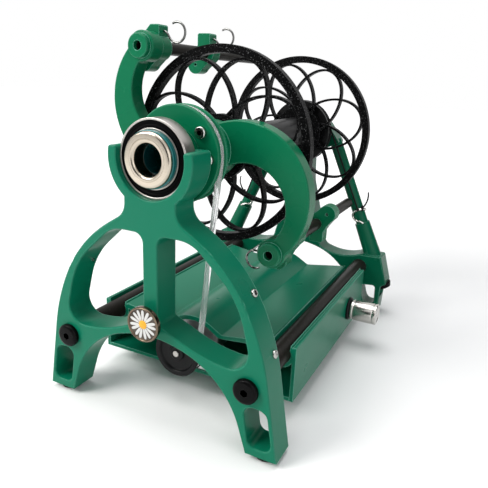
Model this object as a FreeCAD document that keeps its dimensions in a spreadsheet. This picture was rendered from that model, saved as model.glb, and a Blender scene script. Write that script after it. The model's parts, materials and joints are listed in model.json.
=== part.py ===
import FreeCAD, Part
import math
import os
import re

import Sketcher
from FreeCAD import Placement, Rotation, Vector

# Electric yarn spinner. X runs across the machine, Y from the front frame to
# the rear frame, Z up. Places below are written from the middle plane (x), the
# front face of the front frame (y) and the flyer axis (z).

sizes = {
    # stand
    "axis_height": 194, "pad_height": 4, "pad_diameter": 16.5, "frame_depth": 22, "frame_gap": 257,
    "tube_spacing": 151, "tube_height": 53, "tube_diameter": 16, "tube_bore": 13,
    "tube_seat": 12, "foot_reach": 23.8, "foot_inner": 0.5, "spine_width": 11.8,
    "saddle_wall": 6.8, "saddle_rise": 7, "saddle_lip": 2.2, "neck_half": 20.3,
    "edge_round": 1.2, "window_drop": 49, "crown_height": 73.1,
    # fasteners
    "fit": 0.05, "bolt_flange": 17.8, "bolt_head": 11.5, "bolt_rise": 4.4,
    "bolt_thread": 8, "bolt_length": 26, "bolt_socket": 5, "cap_head": 7.6,
    "cap_rise": 3.2, "cap_thread": 4, "cap_socket": 3, "side_head": 6,
    "side_rise": 2, "side_thread": 3, "side_length": 9, "side_socket": 2,
    # front bearing
    "bearing_outer": 52, "bearing_bore": 37.6, "bearing_width": 11,
    "bearing_inset": 4.3, "race_wall": 2.2, "inner_race_wall": 0.9, "bearing_ball": 2.4,
    "bearing_ball_count": 16, "seal_inset": 0.5, "seal_thickness": 0.8,
    # orifice and pulley
    "orifice_bore": 20.8, "orifice_flange": 36.2, "orifice_proud": 1.8,
    "orifice_flange_depth": 2.6, "orifice_tube_wall": 2, "sleeve_front": 0.8,
    "pulley_front": 30.6, "pulley_split": 37, "pulley_back": 43.8,
    "pulley_rim": 67.4, "groove_bottom": 56.9, "groove_half": 4, "groove_floor": 1.5,
    "screw_circle": 52.4, "screw_turn": 39.3, "screw_spread": 40.5, "screw_length": 10.5,
    # yoke
    "arm_front": 69.8, "arm_back": 84, "hub_radius": 21.5, "arm_outer_radius": 55.3,
    "arm_outer_x": 28.7, "arm_outer_drop": 32.1, "arm_inner_radius": 32.5,
    "arm_inner_x": 34, "arm_inner_drop": 39.4, "rod_x": 57.1, "rod_drop": 71.4,
    "arm_crotch": 4, "boss_diameter": 18, "arm_end_rim": 2.2, "boss_rise": 4.3, "boss_back": 0.5, "rod_diameter": 10, "rod_bore": 7,
    "rod_end": 275, "neck_wall": 20, "exit_width": 13,
    # bobbin
    "shaft_diameter": 8, "flange_radius": 75, "rim_wall": 6.3, "rim_depth": 7,
    "petal_length": 67.4, "petal_width": 48, "petal_reach": 68.4, "petal_wall": 2.1,
    "petal_depth": 6, "petal_count": 8, "flange_hub": 25, "front_flange": 90, "rear_flange": 258,
    "core_diameter": 30, "core_bore": 22, "whorl_radius": 32, "whorl_depth": 12,
    "whorl_groove": 30, "bushing_length": 10, "bushing_flange": 1.2,
    # hook carriages
    "carriage_outer": 19, "carriage_depth": 12, "carriage_block_width": 12.5,
    "carriage_block_rise": 16.6, "lobe_x": 9, "lobe_drop": 10, "lobe_radius": 8,
    "lobe_hole": 2.6, "hook_wire": 1.8, "hook_radius": 7.6, "hook_reach": 12,
    "carriage_gap": 0.3,
    # rear frame
    "post_diameter": 13, "post_top_x": 32.6, "post_top_drop": 8, "post_foot_x": 100.2,
    "post_foot_height": 35.5, "socket_top": 16, "socket_bottom": 18.5,
    "socket_top_height": 100, "block_gap": 0.5, "block_depth": 19, "trunk_half": 9,
    "post_cap": 19, "post_cap_rise": 6, "rear_bearing_outer": 22,
    "rear_bearing_width": 7, "rear_race_wall": 2.4, "rear_inner_wall": 2,
    "rear_ball": 2, "rear_ball_count": 7,
    # base
    "cover_front": 56, "cover_length": 194, "cover_wall": 3, "cover_margin": 1.2,
    "cover_bottom": 15, "deck_height": 60, "dome_top": 67, "dome_half": 26,
    "crease_height": 54, "clip_wall": 3, "clip_gap": 0.3, "clip_mouth": 4,
    # motor and belt
    "motor_height": 42.5, "motor_diameter": 36, "motor_length": 57,
    "motor_shaft": 5, "mount_thickness": 3, "belt_diameter": 4.5,
    "belt_radius": 31, "motor_belt_radius": 16, "belt_gap": 0.3, "motor_pulley_wall": 3,
    # speed control
    "knob_y": 200, "knob_height": 36, "knob_diameter": 20, "knob_length": 25,
    "collar_diameter": 22, "collar_depth": 3.2, "control_body": 11, "control_depth": 10,
    "control_shaft": 6, "board_width": 36, "board_depth": 70, "board_thickness": 1.6,
    "board_rise": 6, "board_x": 32, "board_y": 100,
    # wool button
    "button_height": 84, "button_diameter": 25.4, "button_depth": 4.5,
    "magnet_diameter": 10, "magnet_depth": 5, "frame_magnet_diameter": 8,
    "frame_magnet_depth": 4,
    # brake
    "brake_cord_diameter": 1.6, "brake_wire": 1.7, "brake_ring_height": 110,
}

doc = FreeCAD.newDocument("YarnSpinner")
sheet = doc.addObject("Spreadsheet::Sheet", "Sizes")
for row, (name, size) in enumerate(sizes.items(), 1):
    sheet.set("A%d" % row, name)
    sheet.set("B%d" % row, str(size))
    sheet.setAlias("B%d" % row, name)
doc.recompute()

# Lengths worked out from the sheet
tube_x = "tube_spacing / 2"
tube_drop = "(axis_height - tube_height)"
foot_drop = "(axis_height - pad_height)"
foot_half = "(tube_spacing / 2 + foot_reach)"
crown_drop = "(axis_height - crown_height)"
button_drop = "(axis_height - button_height)"
post_foot_drop = "(axis_height - post_foot_height)"
cover_half = "(tube_spacing / 2 + tube_diameter / 2 + clip_gap + clip_wall + cover_margin)"
rear_front = "(frame_depth + frame_gap)"
rear_back = "(2 * frame_depth + frame_gap)"
saddle_radius = "(bearing_outer / 2 + saddle_wall)"
knob_tip = "(%s + collar_depth + knob_length)" % cover_half
button_face = "(button_depth + magnet_depth)"
motor_drop = "(axis_height - motor_height)"
bearing_back = "(bearing_inset + bearing_width)"
block_front = "(frame_depth + frame_gap + block_gap)"
whorl_front = "(rear_flange + rim_depth)"
belt_y = "(pulley_split + 0.9)"
# the whole machine is centred over the origin, which lies on the floor
middle = "(post_foot_x + post_cap / 2 + 0.2 - %s) / 2" % knob_tip
depth_shift = "(%s - %s - bolt_rise) / 2" % (button_face, rear_back)

finished = []


def bound(text):
    """A formula for another object: each size's name with its sheet."""
    return re.sub(r"[a-z][a-z_0-9]+", lambda m: "Sizes." + m[0] if m[0] in sizes else m[0], text)


def value(text):
    return float(sheet.evalExpression(str(text)))


def at(x, y, z):
    """A point of the machine, from the middle plane, front face and flyer axis."""
    return Vector(value(middle) + value(x), value(depth_shift) + value(y), value("axis_height") + value(z))


def plane(body, role):
    return [feature for feature in body.Origin.OriginFeatures if feature.Role == role][0]


def new_body(name, y="0", z="0", x="0"):
    body = doc.addObject("PartDesign::Body", name)
    body.Label = name
    body.AllowCompound = True
    body.setExpression("Placement.Base.x", bound("%s + (%s)" % (middle, x)))
    body.setExpression("Placement.Base.y", bound("%s + (%s)" % (depth_shift, y)))
    body.setExpression("Placement.Base.z", bound("axis_height + (%s)" % z))
    return body


def new_sketch(body, name, role="XZ_Plane", depth="0"):
    sketch = body.newObject("Sketcher::SketchObject", name)
    sketch.AttachmentSupport = (plane(body, role), [""])
    sketch.MapMode = "FlatFace"
    if depth != "0":
        sketch.setExpression("AttachmentOffset.Base.z", bound("-(%s)" % depth))
    return sketch


def mirrored(corners):
    return [("-(%s)" % x, y, r) for x, y, r in reversed(corners)]


def profile(sketch, corners):
    """A closed outline of straight lines, each corner (x, y, radius) rounded by its arc."""
    points = [Vector(value(x), value(y), 0) for x, y, r in corners]
    count = len(points)
    sides = []
    reaches = []
    for i, point in enumerate(points):
        before = points[i - 1] - point
        after = points[(i + 1) % count] - point
        half = before.getAngle(after) / 2
        sides.append((before.normalize(), after.normalize(), half))
        reaches.append((value(corners[i][2]) if corners[i][2] else 0) / math.tan(half))
    shares = [1.0] * count
    for i, point in enumerate(points):
        other = (i + 1) % count
        total = reaches[i] + reaches[other]
        room = 0.96 * point.distanceToPoint(points[other])
        if total > room:
            shares[i] = min(shares[i], room / total)
            shares[other] = min(shares[other], room / total)
    rounds = []
    for i, point in enumerate(points):
        u, w, half = sides[i]
        reach = reaches[i] * shares[i]
        radius = reach * math.tan(half)
        centre = point + (u + w).normalize() * (radius / math.sin(half)) if radius else point
        rounds.append((point + u * reach, point + w * reach, centre, radius))
    lines = []
    for i in range(count):
        line = Part.LineSegment(rounds[i][1], rounds[(i + 1) % count][0])
        lines.append(sketch.addGeometry(line, False))
    constraints = []
    formulas = []
    for i, point in enumerate(points):
        start, end, centre, radius = rounds[i]
        before, after = lines[i - 1], lines[i]
        mark = sketch.addGeometry(Part.Point(point), True)
        if radius:
            crest = centre + (point - centre).normalize() * radius
            first, last = (1, 2)
            if (start - centre).cross(end - centre).z < 0:
                start, end = end, start
                first, last = (2, 1)
            arc = sketch.addGeometry(Part.Arc(start, crest, end), False)
            constraints.append(Sketcher.Constraint("PointOnObject", mark, 1, before))
            constraints.append(Sketcher.Constraint("PointOnObject", mark, 1, after))
            constraints.append(Sketcher.Constraint("Tangent", before, 2, arc, first))
            constraints.append(Sketcher.Constraint("Tangent", after, 1, arc, last))
            if shares[i] == 1.0:
                formulas.append((len(constraints), corners[i][2]))
            constraints.append(Sketcher.Constraint("Radius", arc, radius))
        else:
            constraints.append(Sketcher.Constraint("Coincident", before, 2, mark, 1))
            constraints.append(Sketcher.Constraint("Coincident", after, 1, mark, 1))
        formulas.append((len(constraints), corners[i][0]))
        constraints.append(Sketcher.Constraint("DistanceX", -1, 1, mark, 1, point.x))
        formulas.append((len(constraints), corners[i][1]))
        constraints.append(Sketcher.Constraint("DistanceY", -1, 1, mark, 1, point.y))
    sketch.addConstraint(constraints)
    for index, formula in formulas:
        sketch.setExpression("Constraints[%d]" % index, bound(formula))
    return sketch


def circle(sketch, x, y, radius):
    mark = sketch.addGeometry(Part.Circle(Vector(value(x), value(y), 0), Vector(0, 0, 1), value(radius)), False)
    first = sketch.ConstraintCount
    sketch.addConstraint([
        Sketcher.Constraint("DistanceX", -1, 1, mark, 3, value(x)),
        Sketcher.Constraint("DistanceY", -1, 1, mark, 3, value(y)),
        Sketcher.Constraint("Radius", mark, value(radius)),
    ])
    for offset, formula in enumerate((x, y, radius)):
        sketch.setExpression("Constraints[%d]" % (first + offset), bound(formula))
    return sketch


def pad(body, sketch, length):
    """Material from the sketch's plane towards the rear."""
    feature = body.newObject("PartDesign::Pad", sketch.Name + "_pad")
    feature.Profile = sketch
    feature.Reversed = True
    feature.setExpression("Length", bound(length))
    return feature


def pocket(body, sketch, length=None):
    """A cut from the sketch's plane towards the rear, through everything without a length."""
    feature = body.newObject("PartDesign::Pocket", sketch.Name + "_cut")
    feature.Profile = sketch
    if length:
        feature.setExpression("Length", bound(length))
    else:
        feature.Type = "ThroughAll"
    return feature


def turned(name, corners, y="0", z="0", x="0"):
    """A piece turned about the Y axis from corners of (radius, distance along the axis, rounding)."""
    body = new_body(name, y, z, x)
    sketch = profile(new_sketch(body, name + "_section", "XY_Plane"), corners)
    feature = body.newObject("PartDesign::Revolution", name + "_turning")
    feature.Profile = sketch
    feature.ReferenceAxis = (sketch, ["V_Axis"])
    feature.Angle = 360
    return body


def ring(inner, outer, front, back, rounding=""):
    """Corners of a plain turned ring."""
    return [(inner, front, ""), (outer, front, rounding), (outer, back, rounding), (inner, back, "")]


def round_edges(body, radius, wanted):
    """Rounds the edges of the body's last feature that the test wants."""
    doc.recompute()
    base = body.Tip
    names = []
    for index, edge in enumerate(base.Shape.Edges, 1):
        if wanted(edge):
            names.append("Edge%d" % index)
    feature = body.newObject("PartDesign::Fillet", body.Name + "_rounding%d" % len(body.Group))
    feature.Base = (base, names)
    feature.setExpression("Radius", bound(radius))
    return feature


def bevel_edges(body, size, wanted):
    """Bevels the edges of the body's last feature that the test wants."""
    doc.recompute()
    base = body.Tip
    names = []
    for index, edge in enumerate(base.Shape.Edges, 1):
        if wanted(edge):
            names.append("Edge%d" % index)
    feature = body.newObject("PartDesign::Chamfer", body.Name + "_bevel%d" % len(body.Group))
    feature.Base = (base, names)
    feature.setExpression("Size", bound(size))
    return feature


def on_face(edge, y):
    """True for an edge that lies in the body's own plane at this depth."""
    box = edge.BoundBox
    return abs(box.YMin - y) < 1e-4 and abs(box.YMax - y) < 1e-4


def bar(name, radius, start, end):
    """A plain round bar between two points."""
    piece = doc.addObject("Part::Cylinder", name)
    piece.Label = name
    piece.setExpression("Radius", bound(radius))
    piece.Height = start.distanceToPoint(end)
    piece.Placement = Placement(start, Rotation(Vector(0, 0, 1), end - start))
    return piece


def cut(name, base, tools):
    group = doc.addObject("Part::Compound", name + "_tools")
    group.Links = tools
    piece = doc.addObject("Part::Cut", name)
    piece.Label = name
    piece.Base = base
    piece.Tool = group
    return piece


def fuse(name, shapes):
    piece = doc.addObject("Part::MultiFuse", name)
    piece.Label = name
    piece.Shapes = shapes
    piece.Refine = True
    return piece


def feature(name, shape):
    piece = doc.addObject("Part::Feature", name)
    piece.Label = name
    piece.Shape = shape
    return piece


def copies(name, master, places):
    """One node of separate solids: the same piece at each place."""
    doc.recompute()
    own = master.Shape.copy()
    own.Placement = Placement()
    shapes = []
    for place in places:
        shape = own.copy()
        shape.Placement = place
        shapes.append(shape)
    return feature(name, Part.makeCompound(shapes))


def facing(point, direction=Vector(0, 1, 0)):
    """Puts a turned piece's zero at the point with its +Y axis in the direction."""
    return Placement(point, Rotation(Vector(0, 1, 0), direction))


def pipe(route, radius):
    """A round tube along a wire, from its first point."""
    edge = route.OrderedEdges[0]
    start = edge.valueAt(edge.FirstParameter)
    along = edge.tangentAt(edge.FirstParameter)
    if edge.Orientation == "Reversed":
        start = edge.valueAt(edge.LastParameter)
        along = edge.tangentAt(edge.LastParameter) * -1
    section = Part.Wire(Part.makeCircle(radius, start, along))
    return route.makePipeShell([section], True, False)


# ---------------------------------------------------------------- front frame
def arch():
    """The arch between the two feet, right half, from the foot to the crown."""
    return [
        ("%s + foot_inner" % tube_x, "-" + foot_drop, ""),
        ("%s - 17" % tube_x, "-(%s - 5.3)" % tube_drop, "67"),
    ]


def front_frame():
    body = new_body("front_frame_moulding")
    right = [
        ("neck_half", "-%s * 0.5" % saddle_radius, ""),
        ("neck_half", "-(%s + 4.2)" % saddle_radius, "13"),
        ("%s - 12.6" % tube_x, "-(%s + 30.5)" % saddle_radius, "112"),
        ("%s + 11" % tube_x, "-(%s - 26.4)" % tube_drop, "160"),
        (foot_half, "-" + foot_drop, ""),
    ]
    outline = right + arch() + [("0", "-" + crown_drop, "80")] + mirrored(right + arch())
    pad(body, profile(new_sketch(body, "outline"), outline), "frame_depth")
    pad(body, circle(new_sketch(body, "saddle"), "0", "0", saddle_radius), "frame_depth")
    mouth = [
        ("-%s - 1" % saddle_radius, "saddle_rise", ""), (saddle_radius + " + 1", "saddle_rise", ""),
        (saddle_radius + " + 1", saddle_radius + " + 1", ""),
        ("-%s - 1" % saddle_radius, saddle_radius + " + 1", ""),
    ]
    pocket(body, profile(new_sketch(body, "mouth"), mouth))
    pocket(body, circle(new_sketch(body, "saddle_through"), "0", "0", "bearing_outer / 2 - saddle_lip"))
    seat = circle(new_sketch(body, "saddle_seat"), "0", "0", "bearing_outer / 2 + fit")
    pocket(body, seat, bearing_back + " + fit")
    window = [
        ("spine_width / 2", "-window_drop", "7"),
        ("%s - 43.5" % tube_x, "-window_drop", "25"),
        ("%s - 9.3" % tube_x, "-(window_drop + 31.6)", "63"),
        ("%s + 3.8" % tube_x, "-(%s - 10.1)" % tube_drop, "14"),
        ("%s - 33.3" % tube_x, "-(%s - 12.7)" % tube_drop, "100"),
        ("spine_width / 2", "-(" + crown_drop + " - 8)", "3"),
    ]
    slot = [
        ("%s - 2.7" % tube_x, "-(%s - 37.5)" % foot_drop, "6.5"),
        ("%s + 14.6" % tube_x, "-(%s - 36)" % foot_drop, "6.5"),
        ("%s + 19.8" % tube_x, "-(%s - 6.5)" % foot_drop, "5.5"),
        ("%s + 2.4" % tube_x, "-(%s - 6.5)" % foot_drop, "6"),
    ]
    for name, shape in (("window", window), ("slot", slot)):
        pocket(body, profile(new_sketch(body, name + "_right"), shape))
        pocket(body, profile(new_sketch(body, name + "_left"), mirrored(shape)))
    round_edges(body, "edge_round * 1.8", lambda edge: abs(edge.Length - value("frame_depth")) < 9
                and edge.BoundBox.YLength > 5 and edge.BoundBox.XLength < 0.01
                and abs(edge.CenterOfMass.z - value("saddle_rise")) < 0.01)
    round_edges(body, "edge_round", lambda edge: on_face(edge, 0))
    for side, sign in (("right", ""), ("left", "-")):
        x = sign + tube_x
        hole = circle(new_sketch(body, "bolt_hole_" + side), x, "-" + tube_drop, "bolt_thread / 2 + fit")
        pocket(body, hole)
        seat = new_sketch(body, "tube_seat_" + side, depth="frame_depth - tube_seat")
        pocket(body, circle(seat, x, "-" + tube_drop, "tube_diameter / 2 + fit"))
    hole = circle(new_sketch(body, "magnet_hole"), "0", "-" + button_drop, "frame_magnet_diameter / 2 + fit")
    pocket(body, hole, "frame_magnet_depth")
    return body


# Two small screws in the outer flank of each leg: x, y, z and the flank's outward slope
side_places = [("%s - 5.2" % tube_x, "-80", 0.46), ("%s + 11.3" % tube_x, "-119.5", 0.2)]


def side_screw_places():
    places = []
    for sign in (1, -1):
        for x, z, slope in side_places:
            out = Vector(sign, 0, slope).normalize()
            places.append((at("%d * (%s)" % (sign, x), "frame_depth * 0.75", z), out))
    return places


front_moulding = front_frame()
doc.recompute()


def flank_point(point, out):
    """Where a line along the outward direction leaves the front moulding."""
    line = Part.makeLine(point - out * 12, point + out * 25)
    inside = front_moulding.Shape.common(line)
    ends = [vertex.Point for vertex in inside.Vertexes]
    return max(ends, key=lambda p: p.dot(out))


side_seats = [(flank_point(point, out), out) for point, out in side_screw_places()]
side_holes = []
for index, (seat, out) in enumerate(side_seats):
    hole = bar("side_hole_%d" % index, "side_thread / 2 + fit", seat - out * value("side_length"), seat + out)
    side_holes.append(hole)
    side_holes.append(bar("side_face_%d" % index, "side_head / 2 + 0.2", seat, seat + out * 3))
finished.append(cut("front_frame", front_moulding, side_holes))


# ----------------------------------------------------------------- rear frame
post_top = {"right": at("post_top_x", rear_front + " + frame_depth / 2", "-post_top_drop"),
            "left": at("-post_top_x", rear_front + " + frame_depth / 2", "-post_top_drop")}
post_foot = {"right": at("post_foot_x", rear_front + " + frame_depth / 2", "-" + post_foot_drop),
             "left": at("-post_foot_x", rear_front + " + frame_depth / 2", "-" + post_foot_drop)}
post_run = {side: (post_foot[side] - post_top[side]).normalize() for side in post_top}


def on_post(side, drop):
    """The point of a post's centre line that lies this far below the flyer axis."""
    top, run = post_top[side], post_run[side]
    return top + run * ((top.z - value("axis_height") + value(drop)) / -run.z)


def rear_frame():
    body = new_body("rear_frame_moulding", y=rear_front)
    right = [
        ("trunk_half", "-22", ""),
        ("trunk_half + 1.5", "-55", "40"),
        ("29.5", "-(%s - 14)" % tube_drop, "9"),
        ("%s - 19.5" % tube_x, "-(%s - 6.5)" % tube_drop, "60"),
        ("%s - 1.5" % tube_x, "-(%s - 13.5)" % tube_drop, "9"),
        ("post_foot_x - 2.2", "-(" + post_foot_drop + " - 31.5)", "2"),
        ("post_foot_x + 6.5", "-(" + post_foot_drop + " - 1.5)", "2"),
        ("%s + 2.6" % foot_half, "-(" + post_foot_drop + " + 1)", "2.5"),
        ("%s + 1.2" % foot_half, "-" + foot_drop, ""),
    ]
    outline = right + arch() + [("0", "-" + crown_drop, "80")] + mirrored(right + arch())
    pad(body, profile(new_sketch(body, "rear_outline"), outline), "frame_depth")
    slot = [
        ("%s + 2" % tube_x, "-(%s - 28)" % foot_drop, "3"),
        ("%s - 4" % foot_half, "-(%s - 30)" % foot_drop, "3"),
        ("%s - 3.3" % foot_half, "-(%s - 6.5)" % foot_drop, "5"),
        ("%s + 9" % tube_x, "-(%s - 6.5)" % foot_drop, "7"),
    ]
    pocket(body, profile(new_sketch(body, "rear_slot_right"), slot))
    pocket(body, profile(new_sketch(body, "rear_slot_left"), mirrored(slot)))
    bevel_edges(body, "edge_round * 0.8", lambda edge: on_face(edge, 0))
    return body


def post_socket(side):
    """The tapered collar round the foot of a post."""
    top = on_post(side, "axis_height - socket_top_height")
    low = on_post(side, post_foot_drop + " - 20")
    cone = doc.addObject("Part::Cone", "post_socket_" + side)
    cone.setExpression("Radius1", bound("socket_top / 2"))
    cone.setExpression("Radius2", bound("socket_bottom / 2"))
    cone.Height = top.distanceToPoint(low)
    cone.Placement = Placement(top, Rotation(Vector(0, 0, 1), post_run[side]))
    return cone


rear_moulding = rear_frame()
rear_blank = fuse("rear_frame_blank", [rear_moulding, post_socket("right"), post_socket("left")])
post_end_drop = "(" + post_foot_drop + " - 11)"
rear_tools = []
for side in ("right", "left"):
    run = post_run[side]
    top = on_post(side, "axis_height - socket_top_height") - run * 5
    end = on_post(side, post_end_drop)
    face = on_post(side, post_foot_drop)
    rear_tools.append(bar("post_bore_" + side, "post_diameter / 2 + fit", top, end))
    rear_tools.append(bar("post_bolt_bore_" + side, "3.05", end - run, face + run * 2))
    reach = value("post_cap_rise") + 8
    rear_tools.append(bar("post_cap_room_" + side, "post_cap / 2 + 0.8", face, face + run * reach))
    tube = tube_x if side == "right" else "-" + tube_x
    rear_tools.append(bar("rear_tube_seat_" + side, "tube_diameter / 2 + fit",
                          at(tube, rear_front + " - 1", "-" + tube_drop),
                          at(tube, rear_front + " + tube_seat", "-" + tube_drop)))
    rear_tools.append(bar("rear_bolt_bore_" + side, "bolt_thread / 2 + fit",
                          at(tube, rear_front, "-" + tube_drop), at(tube, rear_back + " + 1", "-" + tube_drop)))
finished.append(cut("rear_frame", rear_blank, rear_tools))

for side in ("left", "right"):
    post = bar("rear_post_rod_" + side, "post_diameter / 2", post_top[side], on_post(side, post_end_drop))
    bore = bar("rear_post_thread_" + side, "3.05", on_post(side, post_end_drop) - post_run[side] * 14,
               on_post(side, post_end_drop) + post_run[side])
    finished.append(cut("rear_post_" + side, post, [bore]))

post_bolt = turned("post_bolt", [
    ("0", "0", ""), ("post_cap / 2 - 1.5", "0", "1"), ("post_cap / 2", "post_cap_rise - 1.5", ""),
    ("post_cap / 2", "post_cap_rise", ""), ("3", "post_cap_rise", ""), ("3", "post_cap_rise + 22", "0.5"),
    ("0", "post_cap_rise + 22", ""),
])
bolt_places = []
for side in ("left", "right"):
    run = post_run[side]
    bolt_places.append(facing(on_post(side, post_foot_drop) + run * value("post_cap_rise"), run * -1))
finished.append(copies("post_bolts", post_bolt, bolt_places))


def bearing_block():
    """The block on top of the two posts, with the blind seat of the rear bearing."""
    body = new_body("rear_block_moulding", y=block_front)
    right = [
        ("8", "rear_bearing_outer / 2 + 7.5", "9"),
        ("post_top_x - 8", "10", "9"),
        ("post_top_x + 8", "-post_top_drop - 2.5", "3"),
        ("post_top_x - 5.4", "-post_top_drop - 7.7", "3"),
        ("trunk_half", "-22", ""),
    ]
    pad(body, profile(new_sketch(body, "block_outline"), right + mirrored(right)), "block_depth")
    seat = circle(new_sketch(body, "bearing_seat"), "0", "0", "rear_bearing_outer / 2 + fit")
    pocket(body, seat, "rear_bearing_width + 0.5")
    relief = circle(new_sketch(body, "shaft_relief"), "0", "0", "shaft_diameter / 2 + 2")
    pocket(body, relief, "rear_bearing_width + 3")
    round_edges(body, "edge_round", lambda edge: on_face(edge, 0) and edge.BoundBox.XLength > 1
                and edge.CenterOfMass.z > value("-post_top_drop - 9") and not edge.Closed)
    return body


block_tools = []
for side in ("left", "right"):
    block_tools.append(bar("block_bore_" + side, "post_diameter / 2 + fit", post_top[side],
                           on_post(side, "post_top_drop + 30")))
finished.append(cut("rear_bearing_block", bearing_block(), block_tools))


# --------------------------------------------------- tubes, bolts, feet, pads
for side, sign in (("left", "-"), ("right", "")):
    x = sign + tube_x
    start = at(x, "frame_depth - tube_seat", "-" + tube_drop)
    end = at(x, rear_front + " + tube_seat", "-" + tube_drop)
    skin = bar("frame_tube_skin_" + side, "tube_diameter / 2", start, end)
    hollow = bar("frame_tube_hollow_" + side, "tube_bore / 2", start, end)
    finished.append(cut("frame_tube_" + side, skin, [hollow]))

insert = turned("tube_insert", ring("bolt_thread / 2 + fit", "tube_bore / 2 - fit", "0", "18", "0.6"))
insert_places = []
for sign in ("", "-"):
    insert_places.append(facing(at(sign + tube_x, "frame_depth - tube_seat", "-" + tube_drop)))
    insert_places.append(facing(at(sign + tube_x, rear_front + " + tube_seat", "-" + tube_drop), Vector(0, -1, 0)))
finished.append(copies("tube_inserts", insert, insert_places))


def hex_socket(body, across, depth):
    """A hexagonal key socket in the turned piece's front end."""
    sketch = new_sketch(body, body.Name + "_hexagon")
    corners = []
    for turn in range(6):
        reach = "(%s) * %.6f" % (across, 0.5 / math.cos(math.pi / 6))
        corners.append(("%s * %.6f" % (reach, math.cos(turn * math.pi / 3)),
                        "%s * %.6f" % (reach, math.sin(turn * math.pi / 3)), ""))
    pocket(body, profile(sketch, corners), depth)
    return body


tube_bolt = hex_socket(turned("tube_bolt", [
    ("0", "0", ""), ("bolt_head / 2 - 1.6", "0", "1.4"), ("bolt_head / 2", "bolt_rise - 1.5", "0.5"),
    ("bolt_flange / 2", "bolt_rise - 0.9", "0.4"), ("bolt_flange / 2", "bolt_rise", ""),
    ("bolt_thread / 2", "bolt_rise", ""), ("bolt_thread / 2", "bolt_rise + bolt_length", "0.8"),
    ("0", "bolt_rise + bolt_length", ""),
]), "bolt_socket", "bolt_rise - 1.2")
finished.append(copies("front_tube_bolts", tube_bolt, [
    facing(at(sign + tube_x, "-bolt_rise", "-" + tube_drop)) for sign in ("-", "")]))
finished.append(copies("rear_tube_bolts", tube_bolt, [
    facing(at(sign + tube_x, rear_back + " + bolt_rise", "-" + tube_drop), Vector(0, -1, 0))
    for sign in ("-", "")]))

side_screw = hex_socket(turned("side_screw", [
    ("0", "0", ""), ("side_head / 2 - 0.9", "0", "0.6"), ("side_head / 2", "0.9", "0.4"),
    ("side_head / 2", "side_rise", ""), ("side_thread / 2", "side_rise", ""),
    ("side_thread / 2", "side_rise + side_length - 1", "0.4"), ("0", "side_rise + side_length - 1", ""),
]), "side_socket", "side_rise * 0.6")
finished.append(copies("side_screws", side_screw, [
    facing(seat + out * value("side_rise"), out * -1) for seat, out in side_seats]))


foot_pad = turned("foot_pad", [
    ("0", "0", ""), ("pad_diameter / 2", "0", "1.4"), ("pad_diameter / 2", "pad_height", ""), ("0", "pad_height", ""),
])
pad_x = "(%s + (foot_reach + foot_inner) / 2)" % tube_x
pad_places = []
for sign in ("-", ""):
    for y in ("frame_depth / 2", rear_front + " + frame_depth / 2"):
        pad_places.append(facing(at(sign + pad_x, y, "-axis_height"), Vector(0, 0, 1)))
finished.append(copies("foot_pads", foot_pad, pad_places))


# -------------------------------------------------------------- front bearing
inner_race = "(bearing_bore / 2 + inner_race_wall)"
outer_race = "(bearing_outer / 2 - race_wall)"
finished.append(turned("front_bearing_outer_race", ring(
    outer_race, "bearing_outer / 2", "bearing_inset", bearing_back, "0.6")))
finished.append(turned("front_bearing_inner_race", ring(
    "bearing_bore / 2", inner_race, "bearing_inset", bearing_back, "0.3")))
seal = turned("bearing_seal", ring(inner_race + " + fit * 6", outer_race, "0", "seal_thickness"))
finished.append(copies("front_bearing_seals", seal, [
    facing(at("0", "bearing_inset + seal_inset", "0")),
    facing(at("0", bearing_back + " - seal_inset - seal_thickness", "0"))]))


def balls(name, radius, diameter, count, y):
    shapes = []
    for turn in range(int(value(count))):
        angle = 2 * math.pi * turn / value(count)
        centre = at("0", y, "0") + Vector(math.cos(angle), 0, math.sin(angle)) * value(radius)
        shapes.append(Part.makeSphere(value(diameter) / 2, centre))
    return feature(name, Part.makeCompound(shapes))


finished.append(balls("front_bearing_balls", "(%s + %s) / 2" % (inner_race, outer_race), "bearing_ball",
                      "bearing_ball_count", "bearing_inset + bearing_width / 2"))


# --------------------------------------------- orifice, sleeve, flyer pulley
bore = "orifice_bore / 2"
stem = "(orifice_bore / 2 + orifice_tube_wall)"
flange_back = "(sleeve_front)"
finished.append(turned("orifice_ring", [
    (bore, "-orifice_proud", "2.4"), ("orifice_flange / 2", "-orifice_proud", "1.9"),
    ("orifice_flange / 2", flange_back, "1"), (stem, flange_back, ""),
    (stem, "pulley_front", ""), (bore, "pulley_front", ""),
]))
finished.append(turned("flyer_sleeve", [
    (stem + " + fit", "sleeve_front", ""), ("bearing_bore / 2 - fit", "sleeve_front", "0.8"),
    ("bearing_bore / 2 - fit", "pulley_back", ""), (stem + " + fit", "pulley_back", ""),
]))
groove = "groove_bottom / 2"
rim = "pulley_rim / 2"
pulley_front = turned("pulley_front_disc", [
    ("bearing_bore / 2 + fit", "pulley_front", ""), (rim, "pulley_front", "1"),
    (rim, "%s - groove_half" % belt_y, "0.6"), (groove, "%s - groove_floor" % belt_y, ""),
    (groove, "pulley_split", ""), ("bearing_bore / 2 + fit", "pulley_split", ""),
])
screw_holes = []
screw_places = []
screw_turn = value("screw_turn")
screw_spread = value("screw_spread")
for turn, degrees in enumerate((screw_turn, screw_turn - screw_spread, screw_turn + 180,
                                screw_turn - screw_spread + 180)):
    angle = math.radians(degrees)
    spot = Vector(math.cos(angle), 0, math.sin(angle)) * (value("screw_circle") / 2)
    low = at("0", "pulley_front - 1", "0") + spot
    high = at("0", "pulley_front + screw_length", "0") + spot
    screw_holes.append(bar("screw_hole_%d" % turn, "cap_thread / 2 + fit", low, high))
    screw_places.append(facing(at("0", "pulley_front - cap_rise", "0") + spot))
finished.append(cut("flyer_pulley_front", pulley_front, screw_holes))
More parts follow.
